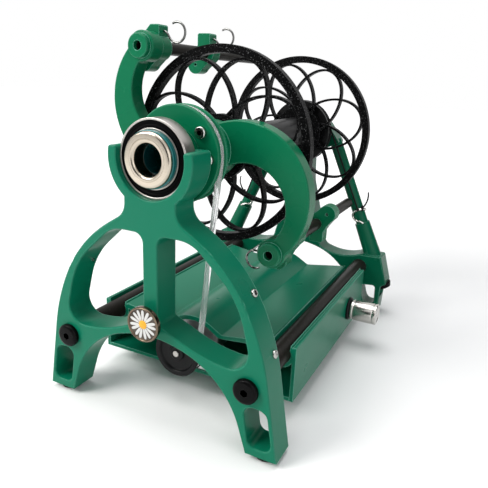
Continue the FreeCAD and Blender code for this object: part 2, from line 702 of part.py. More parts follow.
cap_screw = hex_socket(turned("cap_screw", [
    ("0", "0", ""), ("cap_head / 2", "0", "0.6"), ("cap_head / 2", "cap_rise", ""),
    ("cap_thread / 2", "cap_rise", ""), ("cap_thread / 2", "cap_rise + screw_length - 0.5", "0.4"),
    ("0", "cap_rise + screw_length - 0.5", ""),
]), "cap_socket", "cap_rise * 0.6")
finished.append(copies("pulley_screws", cap_screw, screw_places))


# ----------------------------------------------------------------- flyer yoke
def arm_face():
    """One crescent arm, as a flat face about the flyer axis."""
    outer = Vector(value("arm_outer_x"), 0, -value("arm_outer_drop"))
    inner = Vector(value("arm_inner_x"), 0, -value("arm_inner_drop"))
    boss = Vector(value("rod_x"), 0, -value("rod_drop"))
    outward = (boss - outer).normalize()
    inward = (boss - inner).normalize()

    def on(centre, radius, direction):
        return centre + Vector(direction).normalize() * radius

    big = value("arm_outer_radius")
    small = value("arm_inner_radius")
    back = Vector(outer).normalize() * -1
    start = on(outer, big, back)
    end = on(outer, big, outward)
    top = on(outer, big, Vector(0.75, 0, 0.66))
    near = on(inner, small, Vector(inner) * -1)
    far = on(inner, small, inward)
    crest = on(inner, small, Vector(0.75, 0, 0.66))
    edges = [
        Part.Arc(start, top, end).toShape(), Part.LineSegment(end, far).toShape(),
        Part.Arc(far, crest, near).toShape(), Part.LineSegment(near, start).toShape(),
    ]
    return Part.Face(Part.Wire(edges))


def yoke_blank():
    """Hub and arms as one plate with rounded edges, then the bosses that hold the rods."""
    depth = value("arm_back") - value("arm_front")
    arm = arm_face()
    other = arm.copy()
    other.rotate(Vector(), Vector(0, 1, 0), 180)
    hub = Part.Face(Part.Wire(Part.makeCircle(value("hub_radius"), Vector(), Vector(0, 1, 0))))
    ends = []
    for sign in (1, -1):
        centre = Vector(sign * value("rod_x"), 0, -sign * value("rod_drop"))
        radius = value("boss_diameter") / 2 + value("arm_end_rim")
        ends.append(Part.Face(Part.Wire(Part.makeCircle(radius, centre, Vector(0, 1, 0)))))
    flat = hub.fuse([arm, other] + ends).removeSplitter().Faces[0]
    crotch = value("arm_crotch")
    shape = flat.makeOffset2D(crotch, 0).makeOffset2D(-crotch, 0).extrude(Vector(0, depth, 0))
    shape = shape.makeFillet(value("edge_round"), [e for e in shape.Edges if on_face(e, 0) or on_face(e, depth)])
    rise = value("boss_rise")
    back = depth + value("boss_back")
    for sign in (1, -1):
        centre = Vector(sign * value("rod_x"), -rise, -sign * value("rod_drop"))
        boss = Part.makeCylinder(value("boss_diameter") / 2, rise + back, centre, Vector(0, 1, 0))
        ends = [edge for edge in boss.Edges if on_face(edge, -rise) or on_face(edge, back)]
        shape = shape.fuse(boss.makeFillet(value("edge_round") * 0.8, ends))
    return shape


yoke_arms = feature("yoke_arms", yoke_blank())
yoke_arms.Placement = Placement(at("0", "arm_front", "0"), Rotation())
yoke_neck = turned("yoke_neck", [
    ("bearing_bore / 2 + fit", "pulley_split + 0.02", ""), (groove, "pulley_split + 0.02", ""),
    (groove, "%s + groove_floor" % belt_y, ""), (rim, "%s + groove_half" % belt_y, "0.6"),
    (rim, "pulley_back", "0.4"), ("hub_radius + 4", "pulley_back", ""), ("hub_radius", "pulley_back + 4", "3"),
    ("hub_radius", "arm_front + 2", ""), ("0", "arm_front + 2", ""), ("0", "arm_front - 6", ""),
    (bore + " + 1.5", "pulley_back + 8", "3"), (bore + " + 1.5", "pulley_back", ""),
    ("bearing_bore / 2 + fit", "pulley_back", ""),
])
yoke_body = fuse("yoke_body", [yoke_neck, yoke_arms])
yoke_tools = list(screw_holes)
yoke_tools.append(bar("shaft_bore", "shaft_diameter / 2 + fit", at("0", "arm_front - 7", "0"),
                      at("0", "arm_back + 1", "0")))
for name, sign in (("upper", -1), ("lower", 1)):
    x = "%d * rod_x" % sign
    z = "%d * rod_drop" % -sign
    front = at(x, "arm_front - boss_rise - 1", z)
    step = at(x, "arm_front - 0.5", z)
    back = at(x, "arm_back + 1", z)
    yoke_tools.append(bar("boss_eye_" + name, "rod_bore / 2", front, step))
    yoke_tools.append(bar("boss_bore_" + name, "rod_diameter / 2 + fit", step, back))
exit_window = doc.addObject("Part::Box", "exit_window")
exit_window.setExpression("Length", bound("hub_radius + 6"))
exit_window.setExpression("Width", bound("arm_front - pulley_back - 13"))
exit_window.setExpression("Height", bound("exit_width"))
exit_window.Placement = Placement(at("0", "pulley_back + 7", "0"), Rotation(Vector(0, 1, 0), 140)).multiply(
    Placement(Vector(0, 0, -value("exit_width") / 2), Rotation()))
yoke_tools.append(exit_window)
finished.append(cut("flyer_yoke", yoke_body, yoke_tools))

finished.append(turned("flyer_shaft", [
    ("0", "arm_front - 5", ""), ("shaft_diameter / 2", "arm_front - 5", ""),
    ("shaft_diameter / 2", block_front + " + rear_bearing_width + 0.4", "0.8"),
    ("0", block_front + " + rear_bearing_width + 0.4", ""),
]))
for name, sign in (("upper", -1), ("lower", 1)):
    start = at("%d * rod_x" % sign, "arm_front", "%d * rod_drop" % -sign)
    end = at("%d * rod_x" % sign, "rod_end", "%d * rod_drop" % -sign)
    skin = bar("flyer_rod_skin_" + name, "rod_diameter / 2", start, end)
    hollow = bar("flyer_rod_hollow_" + name, "rod_bore / 2", start, end)
    finished.append(cut("flyer_rod_" + name, skin, [hollow]))


# --------------------------------------------------------------------- bobbin
def oval(sketch, turn, length, width):
    """An oval whose long axis points away from the sketch's origin."""
    along = Vector(math.cos(math.radians(turn)), math.sin(math.radians(turn)), 0)
    across = Vector(-along.y, along.x, 0)
    distance = "(petal_reach - petal_length / 2)"
    centre = along * value(distance)
    shape = Part.Ellipse(centre + along * (value(length) / 2), centre + across * (value(width) / 2), centre)
    mark = sketch.addGeometry(shape, False)
    sketch.exposeInternalGeometry(mark)
    long_axis, short_axis = mark + 1, mark + 2
    first = sketch.ConstraintCount
    sketch.addConstraint([
        Sketcher.Constraint("DistanceX", -1, 1, mark, 3, centre.x),
        Sketcher.Constraint("DistanceY", -1, 1, mark, 3, centre.y),
        Sketcher.Constraint("Distance", long_axis, value(length)),
        Sketcher.Constraint("Distance", short_axis, value(width)),
        Sketcher.Constraint("PointOnObject", -1, 1, long_axis),
    ])
    formulas = ("%s * %.6f" % (distance, along.x), "%s * %.6f" % (distance, along.y), length, width)
    for offset, formula in enumerate(formulas):
        sketch.setExpression("Constraints[%d]" % (first + offset), bound(formula))
    return sketch


def flange(name, y, turn):
    """A bobbin flange: rim, hub and a rosette of overlapping oval petals."""
    body = new_body(name, y=y)
    petal = new_sketch(body, name + "_petal", depth="(rim_depth - petal_depth) / 2")
    oval(petal, turn, "petal_length + petal_wall", "petal_width + petal_wall")
    oval(petal, turn, "petal_length - petal_wall", "petal_width - petal_wall")
    first = pad(body, petal, "petal_depth")
    pattern = body.newObject("PartDesign::PolarPattern", name + "_rosette")
    pattern.Originals = [first]
    pattern.Axis = (plane(body, "Y_Axis"), [""])
    pattern.Angle = 360
    pattern.setExpression("Occurrences", bound("petal_count"))
    body.Tip = pattern
    edge = new_sketch(body, name + "_rim")
    circle(edge, "0", "0", "flange_radius")
    circle(edge, "0", "0", "flange_radius - rim_wall")
    pad(body, edge, "rim_depth")
    pad(body, circle(new_sketch(body, name + "_hub"), "0", "0", "flange_hub"), "rim_depth")
    pocket(body, circle(new_sketch(body, name + "_bore"), "0", "0", "core_diameter / 2 + fit"))
    return body


finished.append(flange("bobbin_front_flange", "front_flange", 23.5))
finished.append(flange("bobbin_rear_flange", "rear_flange", 16.5))
core_end = "(%s)" % whorl_front
finished.append(turned("bobbin_core", ring("core_bore / 2", "core_diameter / 2", "front_flange", core_end, "0.5")))
whorl_back = "(%s + whorl_depth)" % whorl_front
finished.append(turned("bobbin_whorl", [
    ("core_bore / 2", whorl_front, ""), ("whorl_radius", whorl_front, "0.8"),
    ("whorl_radius", whorl_front + " + 2.5", ""), ("whorl_groove", whorl_front + " + 4.5", "0.8"),
    ("whorl_groove", whorl_back + " - 4.5", "0.8"), ("whorl_radius", whorl_back + " - 2.5", ""),
    ("whorl_radius", whorl_back, "0.8"), ("core_bore / 2", whorl_back, ""),
]))
bushing = turned("bobbin_bushing", [
    ("shaft_diameter / 2 + fit", "0", ""), ("core_bore / 2 + 2", "0", "0.4"),
    ("core_bore / 2 + 2", "bushing_flange", ""), ("core_bore / 2 - fit", "bushing_flange", ""),
    ("core_bore / 2 - fit", "bushing_length", "0.5"), ("shaft_diameter / 2 + fit", "bushing_length", ""),
])
finished.append(copies("bobbin_bushings", bushing, [
    facing(at("0", "front_flange - bushing_flange", "0")),
    facing(at("0", whorl_back + " + bushing_flange", "0"), Vector(0, -1, 0))]))


# ------------------------------------------------------------ hook carriages
carriages = {
    # number: rod side, front face, width of the cut corner
    "1": (-1, "arm_back + boss_back + 1", 4.5), "2": (-1, "162", 1.2),
    "3": (1, "arm_back + boss_back + 1", 4.5), "4": (1, "172", 1.2),
}


def carriage_shape(corner):
    """The clip about its rod's axis: ring, hook block on top, thread lobe below."""
    depth = value("carriage_depth")
    outer = value("carriage_outer") / 2
    along = Vector(0, 1, 0)
    body = Part.makeCylinder(outer, depth, Vector(), along)
    right = value("carriage_block_width") - 7
    left = -7
    top = value("carriage_block_rise")
    cut_corner = min(corner, top - outer + 4)
    block = Part.makePolygon([
        Vector(left, 0, 0), Vector(left, 0, top - cut_corner), Vector(left + cut_corner, 0, top),
        Vector(right - 1, 0, top), Vector(right, 0, top - 1), Vector(right, 0, 0), Vector(left, 0, 0)])
    block = Part.Face(block).extrude(Vector(0, depth, 0))
    centre = Vector(-value("lobe_x"), 0, -value("lobe_drop"))
    lobe = Part.makeCylinder(value("lobe_radius"), depth, centre, along)
    side = Vector(centre.z, 0, -centre.x).normalize()
    tie = Part.makePolygon([
        side * (outer - 0.4), centre + side * (value("lobe_radius") - 0.4),
        centre - side * (value("lobe_radius") - 0.4), side * (0.4 - outer), side * (outer - 0.4)])
    tie = Part.Face(tie).extrude(Vector(0, depth, 0))
    body = body.fuse([block, lobe, tie]).removeSplitter()
    bore = Part.makeCylinder(value("rod_diameter") / 2 + value("fit"), depth + 2, Vector(0, -1, 0), along)
    eye = Part.makeCylinder(value("lobe_hole") / 2, depth + 2, centre + Vector(0, -1, 0), along)
    wire = Part.makeCylinder(value("hook_wire") / 2 + 0.02, right + 2, Vector(0, depth / 2, top - 4.5), Vector(1, 0, 0))
    return body.cut([bore, eye, wire])


def hook_shape(reach, lift):
    """The wire hook of a carriage: root in the block, a dip, then an open loop."""
    depth = value("carriage_depth") / 2
    radius = value("hook_radius")
    right = value("carriage_block_width") - 7
    root = value("carriage_block_rise") - 4.5
    centre = Vector(right + reach - 1.5, depth, root + 0.8 + lift)
    dip = centre + Vector(0, 0, -radius)
    start = Vector(right - 5, depth, root)
    out = Vector(right + 1.5, depth, root)
    bend = Vector((out.x + dip.x) / 2 + 0.6, depth, (out.z + dip.z) / 2)
    slope = Vector(bend.x - out.x, 0, bend.z - out.z)
    loop_end = math.radians(115)
    tip = centre + Vector(math.cos(loop_end), 0, math.sin(loop_end)) * radius
    middle_point = centre + Vector(math.cos(math.radians(10)), 0, math.sin(math.radians(10))) * radius
    stem_in = Part.BezierCurve()
    stem_in.setPoles([out, out + Vector(slope.Length * 0.7, 0, 0), dip - Vector(slope.Length * 0.9, 0, 0), dip])
    route = Part.Wire([
        Part.LineSegment(start, out).toShape(), stem_in.toShape(),
        Part.Arc(dip, middle_point, tip).toShape()])
    return pipe(route, value("hook_wire") / 2)


hook_bends = {
    # number: extra reach and lift of its loop
    "1": (0, 0), "2": (0, 0), "3": (6, 3), "4": (0, 0),
}
for number, (side, y, corner) in carriages.items():
    spot = at("%d * rod_x" % side, y, "%d * rod_drop" % -side)
    turn = Rotation(Vector(0, 1, 0), 0 if side < 0 else 180)
    carriage = feature("carriage_" + number, carriage_shape(corner))
    carriage.Placement = Placement(spot, turn)
    hook = feature("hook_" + number, hook_shape(value("hook_reach") + hook_bends[number][0], hook_bends[number][1]))
    hook.Placement = Placement(spot, turn)
    finished.append(carriage)
    finished.append(hook)


# --------------------------------------------------------------- rear bearing
rear_outer = "(rear_bearing_outer / 2 - rear_race_wall)"
rear_inner = "(shaft_diameter / 2 + fit + rear_inner_wall)"
rear_seat = block_front + " + 0.2"
rear_seat_back = "(%s + rear_bearing_width)" % rear_seat
finished.append(turned("rear_bearing_outer_race", ring(
    rear_outer, "rear_bearing_outer / 2", rear_seat, rear_seat_back, "0.4")))
finished.append(turned("rear_bearing_inner_race", ring(
    "shaft_diameter / 2 + fit", rear_inner, rear_seat, rear_seat_back, "0.3")))
finished.append(balls("rear_bearing_balls", "(%s + %s) / 2" % (rear_outer, rear_inner), "rear_ball",
                      "rear_ball_count", "%s + rear_bearing_width / 2" % rear_seat))


# ----------------------------------------------------------------------- base
def from_floor(height):
    return "(%s - axis_height)" % height


cover_end = "(cover_front + cover_length)"


def base_cover():
    body = new_body("base_cover", y="cover_front")
    deck_end = "%s - tube_diameter / 2 - 2" % tube_x
    deck = [
        ("0", from_floor("dome_top + 2"), "30"),
        ("dome_half", from_floor("crease_height"), "2"),
        (deck_end, from_floor("deck_height"), ""),
        (deck_end, from_floor("deck_height - cover_wall * 1.6"), ""),
        ("dome_half + 1.5", from_floor("crease_height - cover_wall"), "2"),
        ("dome_half - 3.5", from_floor("crease_height - cover_wall"), "2"),
        ("0", from_floor("dome_top + 2 - cover_wall"), "27"),
    ]
    right_roof = deck[1:6]
    roof = [deck[0]] + right_roof + [deck[6]] + mirrored(right_roof)
    pad(body, profile(new_sketch(body, "roof"), roof), "cover_length")
    for side, sign in (("right", "1"), ("left", "-1")):
        clip = new_sketch(body, "clip_" + side)
        circle(clip, "%s * %s" % (sign, tube_x), "-" + tube_drop, "tube_diameter / 2 + clip_gap + clip_wall")
        pad(body, clip, "cover_length")
    for side, sign in (("right", "1"), ("left", "-1")):
        wall = [
            ("%s * %s" % (sign, cover_half), from_floor("cover_bottom"), ""),
            ("%s * %s" % (sign, cover_half), from_floor("deck_height"), "1"),
            ("%s * (%s - cover_wall)" % (sign, cover_half), from_floor("deck_height"), "1"),
            ("%s * (%s - cover_wall)" % (sign, cover_half), from_floor("cover_bottom"), ""),
        ]
        pad(body, profile(new_sketch(body, "wall_" + side), wall), "cover_length")
        bore = new_sketch(body, "clip_bore_" + side)
        pocket(body, circle(bore, "%s * %s" % (sign, tube_x), "-" + tube_drop, "tube_diameter / 2 + clip_gap"))
        low = "-(%s - clip_mouth)" % tube_drop
        half = "(tube_diameter / 2 + clip_gap - 0.8)"
        mouth = [
            ("%s * %s - %s" % (sign, tube_x, half), low, ""), ("%s * %s + %s" % (sign, tube_x, half), low, ""),
            ("%s * %s + %s + 1.5" % (sign, tube_x, half), "%s + 12" % low, ""),
            ("%s * %s - %s - 1.5" % (sign, tube_x, half), "%s + 12" % low, ""),
        ]
        pocket(body, profile(new_sketch(body, "clip_mouth_" + side), mouth))
    rear = [
        ("0", from_floor("dome_top + 2 - cover_wall / 2"), "28"),
        ("dome_half", from_floor("crease_height - cover_wall / 2"), ""),
        (deck_end, from_floor("deck_height - cover_wall"), ""),
        ("%s - tube_diameter / 2 - clip_gap - 1" % tube_x, "-(%s + 6)" % tube_drop, ""),
        ("%s - 3" % tube_x, "-(%s + tube_diameter / 2 + clip_gap + 1)" % tube_drop, ""),
        (cover_half + " - cover_wall / 2", "-(%s + tube_diameter / 2 + clip_gap + 1)" % tube_drop, ""),
        (cover_half + " - cover_wall / 2", from_floor("cover_bottom"), ""),
    ]
    back = new_sketch(body, "rear_wall", depth="cover_length - cover_wall")
    profile(back, rear + mirrored(rear[1:]))
    pad(body, back, "cover_wall")
    return body


cover = base_cover()
control_hole = bar("control_hole", "control_shaft / 2 + 0.6", at(cover_half + " - cover_wall - 1", "knob_y", from_floor("knob_height")),
                   at(cover_half + " + 1", "knob_y", from_floor("knob_height")))
inlet_x = "-%s + 30" % tube_x
inlet_hole = bar("inlet_hole", "4.5", at(inlet_x, cover_end + " - cover_wall - 1", from_floor("31")),
                 at(inlet_x, cover_end + " + 1", from_floor("31")))
cover.Label = "base_cover_moulding"
finished.append(cut("base_cover", cover, [control_hole, inlet_hole]))


def floor_blank():
    body = new_body("base_floor_plate", y="cover_front")
    half = "(" + cover_half + " - cover_wall - fit)"
    plate = [
        ("-" + half, from_floor("cover_bottom"), ""), (half, from_floor("cover_bottom"), ""),
        (half, from_floor("cover_bottom + cover_wall"), ""), ("-" + half, from_floor("cover_bottom + cover_wall"), ""),
    ]
    pad(body, profile(new_sketch(body, "floor"), plate), "cover_length - cover_wall - fit")
    return body


finished.append(floor_blank())
finished[-1].Label = "base_floor"

# -------------------------------------------------------- motor and its belt
mount_front = "(cover_front + 1)"
can_front = "(cover_front + 1 + mount_thickness)"


def motor_mount():
    body = new_body("motor_mount_plate", y=mount_front)
    half = "(dome_half - 4)"
    top = [
        ("0", from_floor("dome_top + 2 - cover_wall - 0.6"), "26"),
        (half, from_floor("crease_height - cover_wall - 0.4"), ""),
        (half, from_floor("cover_bottom + cover_wall + fit"), ""),
    ]
    pad(body, profile(new_sketch(body, "mount_outline"), top + mirrored(top[1:])), "mount_thickness")
    pocket(body, circle(new_sketch(body, "mount_eye"), "0", "-" + motor_drop, "motor_diameter * 0.18 + 0.3"))
    return body


finished.append(motor_mount())
finished[-1].Label = "motor_mount"
finished.append(turned("motor_can", [
    ("motor_shaft / 2 + 0.1", can_front + " - mount_thickness", ""),
    ("motor_diameter * 0.18", can_front + " - mount_thickness", "0.5"),
    ("motor_diameter * 0.18", can_front, ""), ("motor_diameter / 2", can_front, "1.5"),
    ("motor_diameter / 2", can_front + " + motor_length", "1.5"), ("motor_diameter * 0.2", can_front + " + motor_length", ""),
    ("motor_diameter * 0.2", can_front + " + motor_length + 3", "0.5"),
    ("0", can_front + " + motor_length + 3", ""), ("0", can_front + " + motor_length - 1", ""),
    ("motor_shaft / 2 + 0.1", can_front + " + motor_length - 1", ""),
], z="-" + motor_drop))
pulley_half = "(groove_half + 2)"
finished.append(turned("motor_shaft", [
    ("0", "%s - %s - 1" % (belt_y, pulley_half), ""), ("motor_shaft / 2", "%s - %s - 1" % (belt_y, pulley_half), "0.4"),
    ("motor_shaft / 2", can_front + " + motor_length - 2", ""), ("0", can_front + " + motor_length - 2", ""),
], z="-" + motor_drop))
motor_groove = "(motor_belt_radius - belt_diameter / 2 - belt_gap)"
motor_rim = "(motor_belt_radius + motor_pulley_wall)"
finished.append(turned("motor_pulley", [
    ("motor_shaft / 2 + fit", "-" + pulley_half, ""), (motor_rim, "-" + pulley_half, "0.6"),
    (motor_rim, "-(groove_half + 0.4)", "0.4"), (motor_groove, "-groove_floor", ""),
    (motor_groove, "groove_floor", ""),
    (motor_rim, "groove_half + 0.4", "0.4"), (motor_rim, pulley_half, "0.6"),
    ("motor_diameter * 0.2", pulley_half, ""), ("motor_diameter * 0.2", pulley_half + " + 6", "0.5"),
    ("motor_shaft / 2 + fit", pulley_half + " + 6", ""),
], y=belt_y, z="-" + motor_drop))


def drive_belt():
    """The round belt: two straight runs and the two arcs round the pulleys."""
    top = at("0", belt_y, "0")
    low = at("0", belt_y, "-" + motor_drop)
    large = value("belt_radius")
    small = value("motor_belt_radius")
    lean = math.asin((large - small) / top.distanceToPoint(low))
    side = Vector(math.cos(lean), 0, -math.sin(lean))
    across = Vector(-side.x, 0, side.z)
    start, over = top + side * large, top + across * large
    under, finish = low + across * small, low + side * small
    edges = [
        Part.Arc(start, top + Vector(0, 0, large), over).toShape(),
        Part.LineSegment(over, under).toShape(),
        Part.Arc(under, low - Vector(0, 0, small), finish).toShape(),
        Part.LineSegment(finish, start).toShape(),
    ]
    return pipe(Part.Wire(edges), value("belt_diameter") / 2)


finished.append(feature("drive_belt", drive_belt()))

# -------------------------------------------------------------- speed control
knob_spot = at(cover_half + " + collar_depth", "knob_y", from_floor("knob_height"))
outward = Vector(1, 0, 0)
collar = turned("knob_collar_blank", ring("control_shaft / 2 + 0.6", "collar_diameter / 2", "0", "collar_depth - 0.3", "0.8"))
finished.append(copies("knob_collar", collar, [facing(at(cover_half, "knob_y", from_floor("knob_height")), outward)]))
knob = turned("knob_blank", [
    ("control_shaft / 2 + fit / 2", "0", ""), ("knob_diameter / 2", "0", "0.5"), ("knob_diameter / 2", "2", ""),
    ("knob_diameter / 2 - 0.5", "2.6", ""), ("knob_diameter / 2 - 0.5", "3.4", ""),
    ("knob_diameter / 2", "4", ""), ("knob_diameter / 2", "knob_length", "1"), ("0", "knob_length", ""),
    ("0", "knob_length - 10", ""), ("control_shaft / 2 + fit / 2", "knob_length - 10", ""),
])
finished.append(copies("speed_knob", knob, [facing(knob_spot, outward)]))
control_inner = "(" + cover_half + " - cover_wall)"
control_can = doc.addObject("Part::Box", "control_can")
control_can.setExpression("Length", bound("control_depth"))
control_can.setExpression("Width", bound("control_body"))
control_can.setExpression("Height", bound("control_body"))
control_can.Placement.Base = at(control_inner + " - control_depth", "knob_y - control_body / 2",
                                from_floor("knob_height - control_body / 2"))
control_bush = bar("control_bush", "control_shaft / 2 + 0.55", at(control_inner, "knob_y", from_floor("knob_height")),
                   at(cover_half, "knob_y", from_floor("knob_height")))
control_bore = bar("control_bore", "control_shaft / 2 + 0.05",
                   at("%s - control_depth / 2" % control_inner, "knob_y", from_floor("knob_height")),
                   at(cover_half + " + 1", "knob_y", from_floor("knob_height")))
finished.append(cut("potentiometer", fuse("control_blank", [control_can, control_bush]), [control_bore]))
finished.append(bar("knob_spindle", "control_shaft / 2",
                    at("%s - control_depth / 2 + 0.2" % control_inner, "knob_y", from_floor("knob_height")),
                    at(knob_tip + " - 10", "knob_y", from_floor("knob_height"))))


def circuit_board():
    """The board on four short pillars, with its largest components."""
    thick, wide, deep = value("board_thickness"), value("board_width"), value("board_depth")
    rise = value("board_rise")
    corner = at("board_x", "board_y", "cover_bottom + cover_wall - axis_height") + Vector(0, 0, rise)
    board = Part.makeBox(wide, deep, thick, corner)
    inset = wide / 9
    pieces = []
    for dx in (inset, wide - inset):
        for dy in (inset, deep - inset):
            pieces.append(Part.makeCylinder(inset * 0.75, rise, corner + Vector(dx, dy, -rise)))
    for share in (0.28, 0.56):
        spot = corner + Vector(wide * share, deep * 0.2, thick)
        pieces.append(Part.makeCylinder(wide / 9, wide * 0.3, spot))
    pieces.append(Part.makeBox(wide * 0.4, wide * 0.4, wide / 15, corner + Vector(wide * 0.28, deep * 0.43, thick)))
    pieces.append(Part.makeBox(wide * 0.66, deep / 9, wide / 4, corner + Vector(wide * 0.17, deep * 0.8, thick)))
    return board.fuse(pieces).removeSplitter()


finished.append(feature("circuit_board", circuit_board()))
inlet = turned("inlet_blank", [
    ("3.2", "0", "0.3"), ("5.5", "0", "0.4"), ("5.5", "1.6", ""), ("4.4", "1.6", ""),
    ("4.4", "cover_wall + 14", "0.5"), ("0", "cover_wall + 14", ""), ("0", "12", ""), ("3.2", "12", ""),
])
finished.append(copies("power_inlet", inlet, [
    facing(at(inlet_x, cover_end + " + 1.6", from_floor("31")), Vector(0, -1, 0))]))

# ------------------------------------------------------------------ wool button
finished.append(turned("button_case", [
    ("0", "-%s + 0.9" % button_face, ""), ("button_diameter / 2 - 1.3", "-%s + 0.9" % button_face, ""),
    ("button_diameter / 2 - 1.3", "-" + button_face, "0.3"), ("button_diameter / 2", "-" + button_face, "0.6"),
    ("button_diameter / 2", "-magnet_depth", "0.8"), ("0", "-magnet_depth", ""),
], z="-" + button_drop))
finished.append(turned("button_magnet", ring("0", "magnet_diameter / 2", "-magnet_depth", "0", "0.4"), z="-" + button_drop))
finished.append(turned("frame_magnet", ring(
    "0", "frame_magnet_diameter / 2", "0.02", "frame_magnet_depth", "0.3"), z="-" + button_drop))


# ---------------------------------------------------------------------- brake
def brake_anchor(side):
    """The eye of a post's ring that the cord is tied to."""
    sign = 1 if side == "right" else -1
    spot = on_post(side, "axis_height - brake_ring_height")
    out = Vector(sign * -post_run[side].z, 0, sign * post_run[side].x)
    return spot, out


def brake_rings():
    shapes = []
    for side in ("left", "right"):
        spot, out = brake_anchor(side)
        axis = (post_run[side] * -1 + Vector(0, 0.32, 0)).normalize()
        major = value("post_diameter") / 2 + value("brake_wire") / 2 + 0.75
        shapes.append(Part.makeTorus(major, value("brake_wire") / 2, spot, axis))
    return Part.makeCompound(shapes)


finished.append(feature("brake_rings", brake_rings()))


def brake_cord():
    """The cord: up from one ring, over the whorl's groove and down to the other."""
    cord_radius = value("brake_cord_diameter") / 2
    wrap = value("whorl_groove") + cord_radius + 0.3
    centre = at("0", whorl_front + " + whorl_depth / 2", "0")
    knots = {}
    for side in ("left", "right"):
        spot, out = brake_anchor(side)
        major = value("post_diameter") / 2 + value("brake_wire") + 0.75
        lift = 4.5
        knot = spot + Vector(0, -major, 0) - post_run[side] * lift + out * 2.5
        knots[side] = knot
    flat = Vector(knots["right"].x - centre.x, 0, knots["right"].z - centre.z)
    bearing = math.atan2(flat.z, flat.x)
    open_angle = math.acos(wrap / flat.Length)
    touch_angle = bearing + open_angle
    right = centre + Vector(math.cos(touch_angle), 0, math.sin(touch_angle)) * wrap
    left = centre + Vector(-math.cos(touch_angle), 0, math.sin(touch_angle)) * wrap
    edges = [
        Part.LineSegment(knots["left"], left).toShape(),
        Part.Arc(left, centre + Vector(0, 0, wrap), right).toShape(),
        Part.LineSegment(right, knots["right"]).toShape(),
    ]
    spans = []
    for edge in edges:
        spans.append(pipe(Part.Wire([edge]), cord_radius))
    joints = [Part.makeSphere(cord_radius, point) for point in (left, right)]
    ends = [Part.makeSphere(cord_radius * 1.9, knot) for knot in knots.values()]
    return spans[0].fuse(spans[1:] + joints + ends)


finished.append(feature("brake_cord", brake_cord()))


# ------------------------------------------------------------ check and write
doc.recompute()
faults = [item.Label for item in doc.Objects if "Invalid" in item.State or "Error" in item.State]
if faults:
    raise RuntimeError("failed: " + ", ".join(faults))
for item in doc.Objects:
    if item.isDerivedFrom("PartDesign::Pocket"):
        if item.Shape.Volume > item.BaseFeature.Shape.Volume - 1e-3:
            raise RuntimeError("%s cuts nothing" % item.Label)

os.makedirs("parts", exist_ok=True)
broken = [piece.Label for piece in finished
          if piece.Shape.isNull() or not piece.Shape.isValid() or not piece.Shape.Solids]
if broken:
    raise RuntimeError("no valid solid: " + ", ".join(broken))
for piece in finished:
    piece.Shape.exportStep("parts/%s.step" % piece.Label)
print("%d sub-parts, %d solids" % (len(finished), sum(len(piece.Shape.Solids) for piece in finished)))
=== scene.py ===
import json
import math

import bmesh
import bpy
from mathutils import Matrix, Vector


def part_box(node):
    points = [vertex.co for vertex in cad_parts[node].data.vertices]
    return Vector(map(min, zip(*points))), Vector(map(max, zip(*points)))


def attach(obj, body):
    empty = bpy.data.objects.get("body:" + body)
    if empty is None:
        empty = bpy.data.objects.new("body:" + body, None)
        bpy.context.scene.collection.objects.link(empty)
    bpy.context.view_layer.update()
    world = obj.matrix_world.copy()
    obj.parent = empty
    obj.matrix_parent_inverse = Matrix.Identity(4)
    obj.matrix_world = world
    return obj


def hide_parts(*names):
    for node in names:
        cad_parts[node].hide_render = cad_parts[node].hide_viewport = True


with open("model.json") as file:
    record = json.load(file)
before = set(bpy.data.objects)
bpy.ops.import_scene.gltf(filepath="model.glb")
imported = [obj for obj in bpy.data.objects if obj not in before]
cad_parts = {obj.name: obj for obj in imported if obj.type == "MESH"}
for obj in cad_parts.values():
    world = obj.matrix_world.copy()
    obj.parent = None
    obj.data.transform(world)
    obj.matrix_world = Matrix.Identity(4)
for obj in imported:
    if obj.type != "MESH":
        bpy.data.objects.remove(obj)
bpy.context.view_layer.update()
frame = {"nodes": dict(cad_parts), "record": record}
nodes = frame["nodes"]
bodyOf = {node: body for body, names in frame["record"]["behaviour"]["bodies"].items() for node in names}
slotOf = {entry["node"]: entry["material_slot"] for entry in frame["record"]["subparts"]}
print("frame loaded:", len(nodes), "nodes")

frontLow, frontHigh = (Vector(corner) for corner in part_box("front_frame"))
ringLow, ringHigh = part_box("orifice_ring")
midX = (frontLow.x + frontHigh.x) / 2
frontY = frontLow.y
axisZ = (ringLow[2] + ringHigh[2]) / 2


# lengths are millimetres throughout, unless a note gives another unit
def place(x, y, z):  # from the middle plane, the front face and the flyer axis
    return Vector((midX + x / 1000, frontY + y / 1000, axisZ + z / 1000))


# from the same zero as place, turns in radians
camera = {
    "x": 199.4, "y": -267.9, "z": 51.4, "yaw": 0.4523, "pitch": 0.306, "roll": 0.0422,
    "lens": 38.69, "sensor": 36, "near": 10,
}


def makeCamera(spec):
    forward = Vector((-math.sin(spec["yaw"]) * math.cos(spec["pitch"]),
                      math.cos(spec["yaw"]) * math.cos(spec["pitch"]), -math.sin(spec["pitch"])))
    level = Vector((math.cos(spec["yaw"]), math.sin(spec["yaw"]), 0))
    above = level.cross(forward)
    right = math.cos(spec["roll"]) * level + math.sin(spec["roll"]) * above
    up = -math.sin(spec["roll"]) * level + math.cos(spec["roll"]) * above
    turn = Matrix((right, up, -forward)).transposed()
    data = bpy.data.cameras.new("camera")
    data.sensor_width = spec["sensor"]
    data.lens = spec["lens"]
    data.clip_start = spec["near"] / 1000
    body = bpy.data.objects.new("camera", data)
    bpy.context.collection.objects.link(body)
    body.matrix_world = Matrix.Translation(place(spec["x"], spec["y"], spec["z"])) @ turn.to_4x4()
    bpy.context.scene.camera = body


makeCamera(camera)

